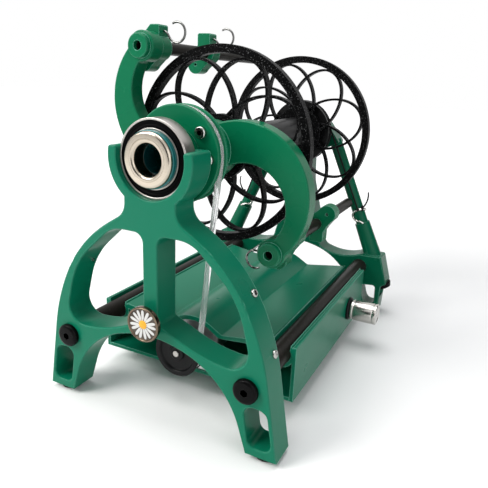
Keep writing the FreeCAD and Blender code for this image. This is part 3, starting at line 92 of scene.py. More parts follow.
lamps = {
    # name: (x, y, z and size in metres, watts, tint)
    "keyLamp": ((-0.7, -0.85, 0.9), 0.7, 15.0, (1.0, 0.985, 0.96)),
    "fillLamp": ((0.95, -0.7, 0.55), 0.9, 2.5, (0.96, 0.98, 1.0)),
    "topLamp": ((-0.1, 0.0, 1.2), 0.9, 8.0, (1.0, 1.0, 1.0)),
}
lampAim = (0, 0, 0.14)  # metres, at about half the machine's height


def makeLamp(name, spot, size, watts, tint):
    light = bpy.data.lights.new(name, "AREA")
    light.shape = "DISK"
    light.size = size
    light.energy = watts
    light.color = tint
    lamp = bpy.data.objects.new(name, light)
    bpy.context.collection.objects.link(lamp)
    lamp.location = spot
    lamp.rotation_euler = (Vector(lampAim) - Vector(spot)).to_track_quat("-Z", "Y").to_euler()


for name, values in lamps.items():
    makeLamp(name, *values)
bpy.context.scene.view_settings.view_transform = "Standard"


def link(tree, source, target):
    tree.links.new(source, target)


def addNode(tree, kind, **settings):
    node = tree.nodes.new(kind)
    for key, value in settings.items():
        if key in node.inputs:
            node.inputs[key].default_value = value
        else:
            setattr(node, key, value)
    return node


def setInputs(node, values):
    for key, value in values.items():
        node.inputs[key].default_value = value


def mathNode(tree, operation, *values, **settings):  # each value is a number or another node's output
    node = addNode(tree, "ShaderNodeMath", operation=operation, **settings)
    for socket, value in zip(node.inputs, values):
        if isinstance(value, (int, float)):
            socket.default_value = value
        else:
            link(tree, value, socket)
    return node.outputs[0]


def rangeMask(tree, source, low, high, top=1.0, **settings):  # 0 at low, rising to top at high
    mask = addNode(tree, "ShaderNodeMapRange", **settings)
    setInputs(mask, {"From Min": low, "From Max": high, "To Max": top})
    link(tree, source, mask.inputs["Value"])
    return mask.outputs["Result"]


def seenRays(tree):  # 1 for the rays that show the background: straight, in gloss and through clear pieces
    path = addNode(tree, "ShaderNodeLightPath")
    first = mathNode(tree, "ADD", path.outputs["Is Camera Ray"], path.outputs["Is Glossy Ray"])
    return mathNode(tree, "ADD", first, path.outputs["Is Transmission Ray"], use_clamp=True)


studio = {
    "sky": (0.97, 0.98, 1.0), "skyStrength": 0.45, "seenColour": (1.0, 1.0, 1.0),
    "floorColour": (0.93, 0.93, 0.93), "floorRough": 0.6, "floorGloss": 0.2,
    # half the floor's side and where its glow starts and ends, in metres, and how strong the glow gets
    "floorHalf": 6.0, "fadeFrom": 0.3, "fadeTo": 1.2, "fadeGlow": 0.62,
    # dark boards beside the table, seen only in gloss, that give the bright metal its dark lines:
    # middle in metres, turns about X, Y and Z in degrees, half the side in metres
    "flags": [((0.62, 0.5, 0.36), (0, 90, 0), 0.34), ((0.75, 1.1, 0.4), (0, 90, -40), 0.38),
              ((-1.1, 0.6, 0.6), (0, 90, 20), 0.5), ((-0.2, -1.3, 0.42), (90, 0, 0), 0.42)],
    "flagColour": (0.02, 0.02, 0.02),
}


def makeWorld(spec):
    world = bpy.data.worlds.new("studioWorld")
    bpy.context.scene.world = world
    world.use_nodes = True
    tree = world.node_tree
    lit = tree.nodes["Background"]
    setInputs(lit, {"Color": (*spec["sky"], 1), "Strength": spec["skyStrength"]})
    seen = addNode(tree, "ShaderNodeBackground", Color=(*spec["seenColour"], 1), Strength=1.0)
    mix = addNode(tree, "ShaderNodeMixShader")
    link(tree, seenRays(tree), mix.inputs[0])
    link(tree, lit.outputs[0], mix.inputs[1])
    link(tree, seen.outputs[0], mix.inputs[2])
    link(tree, mix.outputs[0], tree.nodes["World Output"].inputs["Surface"])


makeWorld(studio)
print("camera, lamps and world set")


def newGroup(name, inputs, outputs):  # inputs with their first values; only the Normal output is a vector
    group = bpy.data.node_groups.new(name, "ShaderNodeTree")
    for label, value in inputs.items():
        kind = "NodeSocketVector" if isinstance(value, tuple) else "NodeSocketFloat"
        socket = group.interface.new_socket(label, in_out="INPUT", socket_type=kind)
        socket.default_value = value
    for label in outputs:
        kind = "NodeSocketVector" if label == "Normal" else "NodeSocketFloat"
        group.interface.new_socket(label, in_out="OUTPUT", socket_type=kind)
    enter = group.nodes.new("NodeGroupInput")
    leave = group.nodes.new("NodeGroupOutput")
    return group, enter, leave


# the mask of the painted edge highlight rises between two cosines of the normal's turn, the specks between
# two values of the noise
grainLook = {"fineDetail": 3.0, "fineRough": 0.6, "softScale": 38.0, "softDetail": 2.0, "bevelSamples": 4,
             "edge": (0.992, 0.9), "speckle": (0.6, 0.72)}


def makeGrainGroup(spec):  # moulded surface: bumped normal, wandering roughness, a mask of edges for the painted highlight, a mask of specks
    group, enter, leave = newGroup(
        "mouldedGrain",
        {"Size": 900.0, "Depth": 0.1, "Rise": 0.0002, "Roughness": 0.4, "Wander": 0.08, "Rounding": 0.0005},
        ["Normal", "Roughness", "Edge", "Speckle"])
    where = addNode(group, "ShaderNodeTexCoord")
    fine = addNode(group, "ShaderNodeTexNoise", Detail=spec["fineDetail"], Roughness=spec["fineRough"])
    link(group, where.outputs["Object"], fine.inputs["Vector"])
    link(group, enter.outputs["Size"], fine.inputs["Scale"])
    soft = addNode(group, "ShaderNodeTexNoise", Scale=spec["softScale"], Detail=spec["softDetail"])
    link(group, where.outputs["Object"], soft.inputs["Vector"])
    rounding = addNode(group, "ShaderNodeBevel", samples=spec["bevelSamples"])
    link(group, enter.outputs["Rounding"], rounding.inputs["Radius"])
    bump = addNode(group, "ShaderNodeBump")
    link(group, enter.outputs["Rise"], bump.inputs["Distance"])
    link(group, fine.outputs["Fac"], bump.inputs["Height"])
    link(group, enter.outputs["Depth"], bump.inputs["Strength"])
    link(group, rounding.outputs["Normal"], bump.inputs["Normal"])
    link(group, bump.outputs["Normal"], leave.inputs["Normal"])
    shift = mathNode(group, "SUBTRACT", soft.outputs["Fac"], 0.5)  # the noise lies about 0.5
    spread = mathNode(group, "MULTIPLY_ADD", shift, enter.outputs["Wander"], enter.outputs["Roughness"])
    link(group, spread, leave.inputs["Roughness"])
    geometry = addNode(group, "ShaderNodeNewGeometry")
    turnAway = addNode(group, "ShaderNodeVectorMath", operation="DOT_PRODUCT")
    link(group, rounding.outputs["Normal"], turnAway.inputs[0])
    link(group, geometry.outputs["Normal"], turnAway.inputs[1])
    link(group, rangeMask(group, turnAway.outputs["Value"], *spec["edge"]), leave.inputs["Edge"])
    link(group, rangeMask(group, fine.outputs["Fac"], *spec["speckle"]), leave.inputs["Speckle"])
    return group


turnedLook = {"detail": 2.0, "rise": 0.00004, "vary": 0.08}  # rise in metres


def makeTurnedGroup(spec):  # turned or drawn metal: fine rings about a centre
    group, enter, leave = newGroup(
        "turnedMarks", {"Centre": (0.0, 0.0, 0.0), "Pitch": 2400.0, "Depth": 0.05, "Roughness": 0.2},
        ["Normal", "Roughness"])
    where = addNode(group, "ShaderNodeTexCoord")
    fromCentre = addNode(group, "ShaderNodeVectorMath", operation="SUBTRACT")
    link(group, where.outputs["Object"], fromCentre.inputs[0])
    link(group, enter.outputs["Centre"], fromCentre.inputs[1])
    radius = addNode(group, "ShaderNodeVectorMath", operation="LENGTH")
    link(group, fromCentre.outputs[0], radius.inputs[0])
    marks = addNode(group, "ShaderNodeTexNoise", noise_dimensions="1D", Scale=1.0, Detail=spec["detail"])
    rings = mathNode(group, "MULTIPLY", radius.outputs["Value"], enter.outputs["Pitch"])
    link(group, rings, marks.inputs["W"])
    bump = addNode(group, "ShaderNodeBump", Distance=spec["rise"])
    link(group, marks.outputs["Fac"], bump.inputs["Height"])
    link(group, enter.outputs["Depth"], bump.inputs["Strength"])
    link(group, bump.outputs["Normal"], leave.inputs["Normal"])
    vary = mathNode(group, "MULTIPLY_ADD", marks.outputs["Fac"], spec["vary"], enter.outputs["Roughness"])
    link(group, vary, leave.inputs["Roughness"])
    return group


grainGroup = makeGrainGroup(grainLook)
turnedGroup = makeTurnedGroup(turnedLook)


def newMaterial(name):
    material = bpy.data.materials.new(name)
    material.use_nodes = True
    return material, material.node_tree.nodes["Principled BSDF"]


def groupNode(tree, group, **values):
    node = tree.nodes.new("ShaderNodeGroup")
    node.node_tree = group
    setInputs(node, values)
    return node


def mixColour(tree, amount, share, base, other):  # base, moved towards other by amount times share
    mix = addNode(tree, "ShaderNodeMix", data_type="RGBA")
    if isinstance(base, tuple):
        mix.inputs["A"].default_value = (*base, 1)
    else:
        link(tree, base, mix.inputs["A"])
    mix.inputs["B"].default_value = (*other, 1)
    link(tree, mathNode(tree, "MULTIPLY", amount, share), mix.inputs["Factor"])
    return mix.outputs["Result"]


def plasticMaterial(name, spec):
    material, shader = newMaterial(name)
    tree = material.node_tree
    grain = groupNode(tree, grainGroup, Size=spec["size"], Depth=spec["depth"], Roughness=spec["rough"],
                      Rise=spec["rise"], Wander=spec["wander"], Rounding=spec["rounding"])
    # the edges are painted lighter: a painted highlight where the rounding turns the normal
    colour = mixColour(tree, grain.outputs["Edge"], spec["edgeShare"], spec["colour"], spec["edge"])
    # the specks are mixed in as a second colour; on the bobbin flanges this lighter colour is painted glints
    if "speckle" in spec:
        colour = mixColour(tree, grain.outputs["Speckle"], spec["speckleShare"], colour, spec["speckle"])
    link(tree, colour, shader.inputs["Base Color"])
    link(tree, grain.outputs["Roughness"], shader.inputs["Roughness"])
    link(tree, grain.outputs["Normal"], shader.inputs["Normal"])
    setInputs(shader, {"Specular IOR Level": spec["gloss"], "IOR": spec["ior"]})
    return material


def metalMaterial(name, spec, centre):
    material, shader = newMaterial(name)
    tree = material.node_tree
    setInputs(shader, {"Base Color": (*spec["colour"], 1), "Metallic": 1})
    marks = groupNode(tree, turnedGroup, Centre=tuple(centre), Pitch=spec["pitch"], Depth=spec["depth"],
                      Roughness=spec["rough"])
    link(tree, marks.outputs["Normal"], shader.inputs["Normal"])
    link(tree, marks.outputs["Roughness"], shader.inputs["Roughness"])
    return material


def clearMaterial(name, spec):
    material, shader = newMaterial(name)
    tree = material.node_tree
    setInputs(shader, {"Base Color": (*spec["colour"], 1), "Transmission Weight": spec["clear"],
                       "IOR": spec["ior"]})
    grain = groupNode(tree, grainGroup, Size=spec["size"], Depth=spec["depth"], Roughness=spec["rough"],
                      Wander=spec["wander"], Rounding=spec["rounding"])
    link(tree, grain.outputs["Roughness"], shader.inputs["Roughness"])
    return material


# size is the scale of the grain, depth and rise its strength and height, rounding how far the rounded edge
# and its painted highlight reach; edge is the colour of that painted highlight; rise and rounding are in
# metres
usualPlastic = {"rise": 0.0002, "ior": 1.5}
plastics = {
    "frameGreen": {
        "colour": (0.002, 0.15, 0.082), "edge": (0.22, 0.6, 0.46), "edgeShare": 0.85, "rough": 0.3,
        "wander": 0.12, "size": 1500.0, "depth": 0.1, "rounding": 0.0009, "gloss": 0.15},
    "flyerGreen": {
        "colour": (0.0015, 0.135, 0.058), "edge": (0.22, 0.6, 0.46), "edgeShare": 0.85, "rough": 0.28,
        "wander": 0.12, "size": 1500.0, "depth": 0.08, "rounding": 0.0009, "gloss": 0.12},
    # rearGreen: the frame's green made darker, painted shade for the rear parts that the lamps light less
    "rearGreen": {
        "colour": (0.0015, 0.1, 0.05), "edge": (0.15, 0.45, 0.34), "edgeShare": 0.8, "rough": 0.26,
        "wander": 0.12, "size": 1500.0, "depth": 0.1, "rounding": 0.0008, "gloss": 0.12},
    # bobbinBlack: its light speckle colour paints small glints over the printed grain
    "bobbinBlack": {
        "colour": (0.0015, 0.0015, 0.0017), "edge": (0.05, 0.05, 0.052), "edgeShare": 0.8, "rough": 0.38,
        "wander": 0.15, "size": 900.0, "depth": 1.0, "rise": 0.0003, "rounding": 0.0004, "gloss": 0.06,
        "speckle": (0.2, 0.2, 0.205), "speckleShare": 0.75, "ior": 1.35},
    "coreBlack": {
        "colour": (0.0025, 0.0025, 0.0028), "edge": (0.05, 0.05, 0.052), "edgeShare": 0.6, "rough": 0.34,
        "wander": 0.15, "size": 700.0, "depth": 0.3, "rounding": 0.0004, "gloss": 0.25, "ior": 1.4},
    "sleeveTeal": {
        "colour": (0.001, 0.125, 0.125), "edge": (0.05, 0.35, 0.36), "edgeShare": 0.6, "rough": 0.16,
        "wander": 0.05, "size": 1500.0, "depth": 0.03, "rounding": 0.0004, "gloss": 0.5},
    # boreTeal: the sleeve's teal darkened, painted shade deep inside the orifice bore
    "boreTeal": {
        "colour": (0.0005, 0.03, 0.034), "edge": (0.001, 0.03, 0.034), "edgeShare": 0.1, "rough": 0.2,
        "wander": 0.1, "size": 300.0, "depth": 0.6, "rise": 0.0004, "rounding": 0.0002, "gloss": 0.35},
    "carbonTube": {
        "colour": (0.014, 0.0125, 0.0105), "edge": (0.05, 0.05, 0.045), "edgeShare": 0.3, "rough": 0.34,
        "wander": 0.2, "size": 420.0, "depth": 0.2, "rounding": 0.0003, "gloss": 0.1, "ior": 1.4,
        "speckle": (0.045, 0.041, 0.032), "speckleShare": 0.6},
    "sealRubber": {
        "colour": (0.0012, 0.0012, 0.0014), "edge": (0.02, 0.02, 0.02), "edgeShare": 0.2, "rough": 0.4,
        "wander": 0.1, "size": 900.0, "depth": 0.2, "rounding": 0.0002, "gloss": 0.06, "ior": 1.35},
    "padRubber": {
        "colour": (0.006, 0.006, 0.0065), "edge": (0.02, 0.02, 0.02), "edgeShare": 0.2, "rough": 0.6,
        "wander": 0.1, "size": 800.0, "depth": 0.3, "rounding": 0.0006, "gloss": 0.1, "ior": 1.4},
    "boltBlack": {
        "colour": (0.002, 0.002, 0.0022), "edge": (0.06, 0.06, 0.062), "edgeShare": 0.6, "rough": 0.26,
        "wander": 0.12, "size": 1400.0, "depth": 0.1, "rounding": 0.0003, "gloss": 0.1, "ior": 1.4},
    "partBlack": {
        "colour": (0.006, 0.006, 0.0065), "edge": (0.04, 0.04, 0.04), "edgeShare": 0.4, "rough": 0.3,
        "wander": 0.1, "size": 1200.0, "depth": 0.15, "rounding": 0.0003, "gloss": 0.2, "ior": 1.4},
    "boardGreen": {
        "colour": (0.004, 0.06, 0.025), "edge": (0.1, 0.12, 0.05), "edgeShare": 0.4, "rough": 0.3,
        "wander": 0.05, "size": 1200.0, "depth": 0.05, "rounding": 0.0002, "gloss": 0.5},
    "cordBlack": {
        "colour": (0.005, 0.005, 0.005), "edge": (0.02, 0.02, 0.02), "edgeShare": 0.1, "rough": 0.7,
        "wander": 0.1, "size": 2600.0, "depth": 0.9, "rounding": 0.0001, "gloss": 0.2},
    "petalWhite": {
        "colour": (0.6, 0.6, 0.58), "edge": (0.65, 0.65, 0.63), "edgeShare": 0.2, "rough": 0.25,
        "wander": 0.05, "size": 700.0, "depth": 0.2, "rounding": 0.0001, "gloss": 0.5},
    "daisyAmber": {
        "colour": (0.8, 0.4, 0.012), "edge": (0.85, 0.45, 0.02), "edgeShare": 0.2, "rough": 0.35,
        "wander": 0.1, "size": 1500.0, "depth": 1.0, "rise": 0.0004, "rounding": 0.0001, "gloss": 0.5,
        "speckle": (0.6, 0.24, 0.006), "speckleShare": 0.8},
    "buttonGround": {
        "colour": (0.05, 0.036, 0.022), "edge": (0.1, 0.08, 0.05), "edgeShare": 0.3, "rough": 0.2,
        "wander": 0.1, "size": 650.0, "depth": 0.2, "rounding": 0.0001, "gloss": 0.5,
        "speckle": (0.16, 0.12, 0.075), "speckleShare": 0.7},
}
metals = {  # pitch and depth are the closeness and strength of the turning marks
    "orificeSteel": {"colour": (0.45, 0.4, 0.33), "rough": 0.16, "pitch": 500.0, "depth": 0.04},
    "raceSteel": {"colour": (0.46, 0.435, 0.41), "rough": 0.28, "pitch": 150.0, "depth": 0.0},
    "screwSteel": {"colour": (0.42, 0.42, 0.4), "rough": 0.14, "pitch": 900.0, "depth": 0.02},
    "socketDark": {"colour": (0.3, 0.2, 0.14), "rough": 0.4, "pitch": 900.0, "depth": 0.02},
    "motorSteel": {"colour": (0.42, 0.42, 0.42), "rough": 0.3, "pitch": 1200.0, "depth": 0.1},
    "sheetAluminium": {"colour": (0.6, 0.6, 0.6), "rough": 0.32, "pitch": 1400.0, "depth": 0.15},
    "knobAluminium": {"colour": (0.56, 0.54, 0.51), "rough": 0.16, "pitch": 900.0, "depth": 0.04},
    "insertBrass": {"colour": (0.6, 0.42, 0.17), "rough": 0.25, "pitch": 2200.0, "depth": 0.15},
    "nickelPlate": {"colour": (0.66, 0.65, 0.62), "rough": 0.15, "pitch": 900.0, "depth": 0.05},
    "buttonBronze": {"colour": (0.16, 0.12, 0.085), "rough": 0.2, "pitch": 900.0, "depth": 0.05},
    "hookSteel": {"colour": (0.17, 0.17, 0.165), "rough": 0.1, "pitch": 300.0, "depth": 0.01},
}
beltLook = {"colour": (1.0, 1.0, 1.0), "clear": 0.75, "ior": 1.4, "rough": 0.03, "size": 500.0, "depth": 0.05,
            "wander": 0.05, "rounding": 0.0001}
finishes = {"beltClear": clearMaterial("beltClear", beltLook)}
for name, spec in plastics.items():
    finishes[name] = plasticMaterial(name, {**usualPlastic, **spec})
for name, spec in metals.items():
    finishes[name] = metalMaterial(name, spec, place(0, 0, 0))

slotFinish = {
    "frame_green": "frameGreen", "flyer_green": "flyerGreen", "bobbin_black": "bobbinBlack",
    "sleeve_teal": "sleeveTeal", "carbon_tube": "carbonTube", "orifice_steel": "orificeSteel",
    "race_steel": "raceSteel", "seal_rubber": "sealRubber", "screw_steel": "screwSteel",
    "bolt_black": "boltBlack", "pad_rubber": "padRubber", "insert_brass": "insertBrass",
    "belt_clear": "beltClear", "motor_steel": "motorSteel", "mount_metal": "sheetAluminium",
    "pulley_black": "partBlack", "knob_aluminium": "knobAluminium", "collar_black": "partBlack",
    "board_green": "boardGreen", "button_enamel": "buttonBronze", "magnet_nickel": "nickelPlate",
    "hook_wire": "hookSteel", "cord_black": "cordBlack",
}
for name, node in nodes.items():
    node.data.materials.clear()
    node.data.materials.append(finishes[slotFinish[slotOf[name]]])
print("finishes on", len(nodes), "nodes")


def meshObject(name, mesh, *materials):
    data = bpy.data.meshes.new(name)
    mesh.to_mesh(data)
    mesh.free()
    for material in materials:
        data.materials.append(material)
    made = bpy.data.objects.new(name, data)
    bpy.context.collection.objects.link(made)
    return made


def wholePiece(name, mesh, node, finish=None, second=None, smooth=35):  # on a CAD node's body and slot
    slot = slotOf[node]
    materials = [finishes[finish or slotFinish[slot]]]
    if second:
        materials.append(finishes[second])
    piece = meshObject(name, mesh, *materials)
    piece.data.shade_smooth()
    piece.data.set_sharp_from_angle(angle=math.radians(smooth))
    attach(piece, bodyOf[node])
    return piece


def standIn(name, mesh, node, **settings):  # shown in the place of a CAD node
    piece = wholePiece(name, mesh, node, **settings)
    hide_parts(node)
    return piece


weld = 1e-6  # metres: points nearer than this are one point
onRing = 1e-5  # metres: how near an edge lies to the ring that it is sought on


def turnedMesh(outline, steps=96, closed=True):  # outline of (radius, distance along +Y) in millimetres
    mesh = bmesh.new()
    points = [mesh.verts.new((radius / 1000, along / 1000, 0)) for radius, along in outline]
    edges = [mesh.edges.new((points[i - 1], points[i])) for i in range(0 if closed else 1, len(points))
             if outline[i - 1][0] > 0 or outline[i][0] > 0]
    bmesh.ops.spin(mesh, geom=points + edges, cent=(0, 0, 0), axis=(0, 1, 0), dvec=(0, 0, 0),
                   angle=2 * math.pi, steps=steps, use_merge=True, use_duplicate=False)
    bmesh.ops.remove_doubles(mesh, verts=mesh.verts, dist=weld)
    bmesh.ops.recalc_face_normals(mesh, faces=mesh.faces)
    return mesh


def ringOutline(inner, outer, front, back):
    return [(inner, front), (outer, front), (outer, back), (inner, back)]


def ringEdges(mesh, radius, along):
    found = []
    for edge in mesh.edges:
        aside = [abs(math.hypot(vert.co.x, vert.co.z) - radius / 1000) for vert in edge.verts]
        ahead = [abs(vert.co.y - along / 1000) for vert in edge.verts]
        if max(aside + ahead) < onRing:
            found.append(edge)
    return found


def bevelEdges(mesh, edges, width, segments=3):
    bmesh.ops.bevel(mesh, geom=edges, offset=width / 1000, offset_type="OFFSET", affect="EDGES",
                    segments=segments, profile=0.5, material=-1, clamp_overlap=True)
    return mesh


def bevelSharp(mesh, width, segments=3, above=30):
    return bevelEdges(mesh, [edge for edge in mesh.edges if len(edge.link_faces) == 2
                             and edge.calc_face_angle() > math.radians(above)], width, segments)


def moveMesh(mesh, spot, toward=(0, 1, 0)):  # puts a turned piece's zero at the spot, its +Y along toward
    turn = Vector((0, 1, 0)).rotation_difference(Vector(toward)).to_matrix().to_4x4()
    bmesh.ops.transform(mesh, matrix=Matrix.Translation(spot) @ turn, verts=mesh.verts)
    return mesh


def turnedPiece(name, node, spec, spot, toward=(0, 1, 0)):
    mesh = bevelSharp(turnedMesh(spec["outline"]), spec["edge"], spec["edgeSteps"])
    standIn(name, moveMesh(mesh, spot, toward), node)


def joinMeshes(meshes):
    whole = bmesh.new()
    for part in meshes:
        data = bpy.data.meshes.new("joining")
        part.to_mesh(data)
        part.free()
        whole.from_mesh(data)
        bpy.data.meshes.remove(data)
    return whole


def vertsOf(items):
    return [item for item in items if isinstance(item, bmesh.types.BMVert)]


def edgesOf(items):
    return [item for item in items if isinstance(item, bmesh.types.BMEdge)]


def boxCentre(node):
    low, high = (Vector(corner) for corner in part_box(node))
    return (low + high) / 2


def seatCentre(node, axis):  # the middle of the box's low side across an axis, 0 for X and 1 for Y
    spot = boxCentre(node)
    spot[axis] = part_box(node)[0][axis]
    return spot


def nodeCopy(node):  # the node's mesh with its loose triangles joined
    mesh = bmesh.new()
    mesh.from_mesh(nodes[node].data)
    bmesh.ops.remove_doubles(mesh, verts=mesh.verts, dist=weld)
    return mesh


def looseSolids(node):  # the points of each separate solid in the node
    mesh = nodeCopy(node)
    solids = []
    left = set(mesh.verts)
    while left:
        front = [left.pop()]
        points = []
        while front:
            vert = front.pop()
            points.append(vert.co.copy())
            for edge in vert.link_edges:
                other = edge.other_vert(vert)
                if other in left:
                    left.remove(other)
                    front.append(other)
        solids.append(points)
    mesh.free()
    return solids


def middleOf(points):
    low = [min(point[i] for point in points) for i in range(3)]
    high = [max(point[i] for point in points) for i in range(3)]
    return Vector([(low[i] + high[i]) / 2 for i in range(3)])


flatDepth = 3e-5  # metres: how far behind the foremost point a flat end's other points may lie


def frontOf(points, out):  # the middle of a solid's foremost flat face
    reach = max(point.dot(out) for point in points)
    return middleOf([point for point in points if point.dot(out) > reach - flatDepth])


orifice = {
    "bore": 10.4, "flange": 18.1, "proud": 1.8, "flangeBack": 0.8, "stem": 12.4, "stemBack": 30.6,
    "groove": 13.2, "grooveWidth": 0.5, "grooveDepth": 0.18, "grooveSlope": 0.12, "steps": 128,
    "lip": 2.0, "shoulder": 1.9, "rear": 0.48, "roundSteps": 8, "rearSteps": 4, "smooth": 40,
}


def orificeMesh(spec):
    front = -spec["proud"]
    floor = front + spec["grooveDepth"]
    groove = spec["groove"]
    far = groove + spec["grooveWidth"]
    mesh = turnedMesh([
        (spec["bore"], front), (groove, front), (groove + spec["grooveSlope"], floor), (far, floor),
        (far + spec["grooveSlope"], front), (spec["flange"], front), (spec["flange"], spec["flangeBack"]),
        (spec["stem"], spec["flangeBack"]), (spec["stem"], spec["stemBack"]),
        (spec["bore"], spec["stemBack"]),
    ], spec["steps"])
    bevelEdges(mesh, ringEdges(mesh, spec["bore"], front), spec["lip"], spec["roundSteps"])
    bevelEdges(mesh, ringEdges(mesh, spec["flange"], front), spec["shoulder"], spec["roundSteps"])
    bevelEdges(mesh, ringEdges(mesh, spec["flange"], spec["flangeBack"]), spec["rear"], spec["rearSteps"])
    return moveMesh(mesh, place(0, 0, 0))


standIn("orificeRing", orificeMesh(orifice), "orifice_ring", smooth=orifice["smooth"])

# thin teal wall just inside the orifice, seen past the polished lip, its teal darkened as painted shade deep
# in the bore
liner = {"inner": 10.05, "outer": 10.38, "front": 9.0, "back": 30.4, "edge": 0.1, "edgeSteps": 2}
linerMesh = turnedMesh(ringOutline(liner["inner"], liner["outer"], liner["front"], liner["back"]))
bevelSharp(linerMesh, liner["edge"], liner["edgeSteps"])
wholePiece("orificeLiner", moveMesh(linerMesh, place(0, 0, 0)), "flyer_sleeve", finish="boreTeal")

bearing = {
    "outer": 26, "outerWall": 1.5, "bore": 18.8, "innerWall": 0.9, "front": 4.3, "back": 15.3, "steps": 128,
    "outerEdge": 0.4, "innerEdge": 0.24, "sealInset": 0.5, "sealThickness": 0.8, "sealGap": 0.15,
    "sealEdge": 0.1, "sealEdgeSteps": 2, "dishInner": 0.8, "dishOuter": 0.5, "dishDeep": 0.35,
}


def sealMesh(spec, inner, outer, face, inward):  # inward is 1 or -1, the way from the face into the bearing
    middle = (inner + outer) / 2
    lip = inner + spec["sealGap"]
    back = face + inward * spec["sealThickness"]
    mesh = turnedMesh([
        (lip, face), (middle - spec["dishInner"], face), (middle, face + inward * spec["dishDeep"]),
        (middle + spec["dishOuter"], face), (outer, face), (outer, back), (lip, back),
    ], spec["steps"])
    return bevelSharp(mesh, spec["sealEdge"], spec["sealEdgeSteps"])


def bearingPieces(spec):
    inside = spec["outer"] - spec["outerWall"]
    innerTop = spec["bore"] + spec["innerWall"]
    outerRace = turnedMesh(ringOutline(inside, spec["outer"], spec["front"], spec["back"]), spec["steps"])
    innerRace = turnedMesh(ringOutline(spec["bore"], innerTop, spec["front"], spec["back"]), spec["steps"])
    seals = [sealMesh(spec, innerTop, inside, spec["front"] + spec["sealInset"], 1),
             sealMesh(spec, innerTop, inside, spec["back"] - spec["sealInset"], -1)]
    for name, node, mesh in (
            ("bearingOuterRace", "front_bearing_outer_race", bevelSharp(outerRace, spec["outerEdge"])),
            ("bearingInnerRace", "front_bearing_inner_race", bevelSharp(innerRace, spec["innerEdge"])),
            ("bearingSeals", "front_bearing_seals", joinMeshes(seals))):
        standIn(name, moveMesh(mesh, place(0, 0, 0)), node)


bearingPieces(bearing)
print("orifice and bearing made")

# screws and bolts: a turned head and thread, and a hexagon socket of a size across its flats
capScrew = {"outline": [(2.1, 0), (3.5, 0), (4.05, 0.55), (4.05, 3.2), (2, 3.2), (2, 13.2), (0, 13.2)],
            "socket": 3.0, "deep": 2.0, "edge": 0.15}
sideScrew = {"outline": [(1.35, 0), (2.1, 0.1), (2.8, 0.6), (3, 1.2), (3, 2), (1.5, 2), (1.5, 10), (0, 10)],
             "socket": 2.0, "deep": 1.2, "edge": 0.12}
tubeBolt = {"outline": [(3.5, 0), (6.9, 0.15), (8.3, 0.75), (8.9, 1.7), (8.9, 3.9), (8.6, 4.4), (4, 4.4),
                        (4, 29.6), (3.4, 30.4), (0, 30.4)],
            "socket": 5.0, "deep": 3.4, "edge": 0.2}
socketCut = {"steps": 48, "point": 0.5, "edgeSteps": 2}


def socketMesh(spec):
    mesh = turnedMesh(spec["outline"], socketCut["steps"], closed=False)
    top = spec["outline"][0][1]
    rim = ringEdges(mesh, *spec["outline"][0])
    corner = spec["socket"] / math.sqrt(3) / 1000
    made = bmesh.ops.create_circle(mesh, segments=6, radius=corner, cap_ends=False)
    lay = Matrix.Translation((0, top / 1000, 0)) @ Matrix.Rotation(math.pi / 2, 4, "X")
    bmesh.ops.transform(mesh, matrix=lay, verts=made["verts"])
    sides = list({edge for vert in made["verts"] for edge in vert.link_edges})
    cut = bmesh.ops.subdivide_edges(mesh, edges=sides, cuts=socketCut["steps"] // 6 - 1)
    hexagon = list(set(edgesOf(cut["geom"])) | {edge for edge in sides if edge.is_valid})
    bmesh.ops.bridge_loops(mesh, edges=hexagon + rim)
    wall = bmesh.ops.extrude_edge_only(mesh, edges=hexagon)["geom"]
    low = vertsOf(wall)
    bmesh.ops.translate(mesh, vec=(0, spec["deep"] / 1000, 0), verts=low)
    floor = [edge for edge in edgesOf(wall) if all(vert in low for vert in edge.verts)]
    inner = bmesh.ops.extrude_edge_only(mesh, edges=floor)["geom"]
    for face in [item for item in wall + inner if isinstance(item, bmesh.types.BMFace)]:
        face.material_index = 1
    tip = (0, (top + spec["deep"] + socketCut["point"]) / 1000, 0)
    bmesh.ops.pointmerge(mesh, verts=vertsOf(inner), merge_co=tip)
    bmesh.ops.recalc_face_normals(mesh, faces=mesh.faces)
    head = ringEdges(mesh, *spec["outline"][1]) + ringEdges(mesh, *spec["outline"][2])
    return bevelEdges(mesh, head, spec["edge"], socketCut["edgeSteps"])


flank = {"border": 100, "upperLean": 0.46, "lowerLean": 0.2}  # the legs' flanks lean more above the border


def flankOut(middle):
    upper = middle.z > axisZ - flank["border"] / 1000
    return 1 if middle.x > midX else -1, 0, flank["upperLean"] if upper else flank["lowerLean"]


def fasteners(name, node, spec, second, facing=None):  # the heads face one way, or each out of its flank
    meshes = []
    for points in looseSolids(node):
        out = Vector(facing or flankOut(middleOf(points))).normalized()
        meshes.append(moveMesh(socketMesh(spec), frontOf(points, out), -out))
    standIn(name, joinMeshes(meshes), node, second=second)


fasteners("pulleyScrews", "pulley_screws", capScrew, "socketDark", facing=(0, -1, 0))
fasteners("sideScrews", "side_screws", sideScrew, "socketDark")
fasteners("frontTubeBolts", "front_tube_bolts", tubeBolt, "partBlack", facing=(0, -1, 0))
fasteners("rearTubeBolts", "rear_tube_bolts", tubeBolt, "partBlack", facing=(0, 1, 0))
print("screws and bolts made")

wireLook = {"round": 5, "along": 8, "weld": 1e-7}


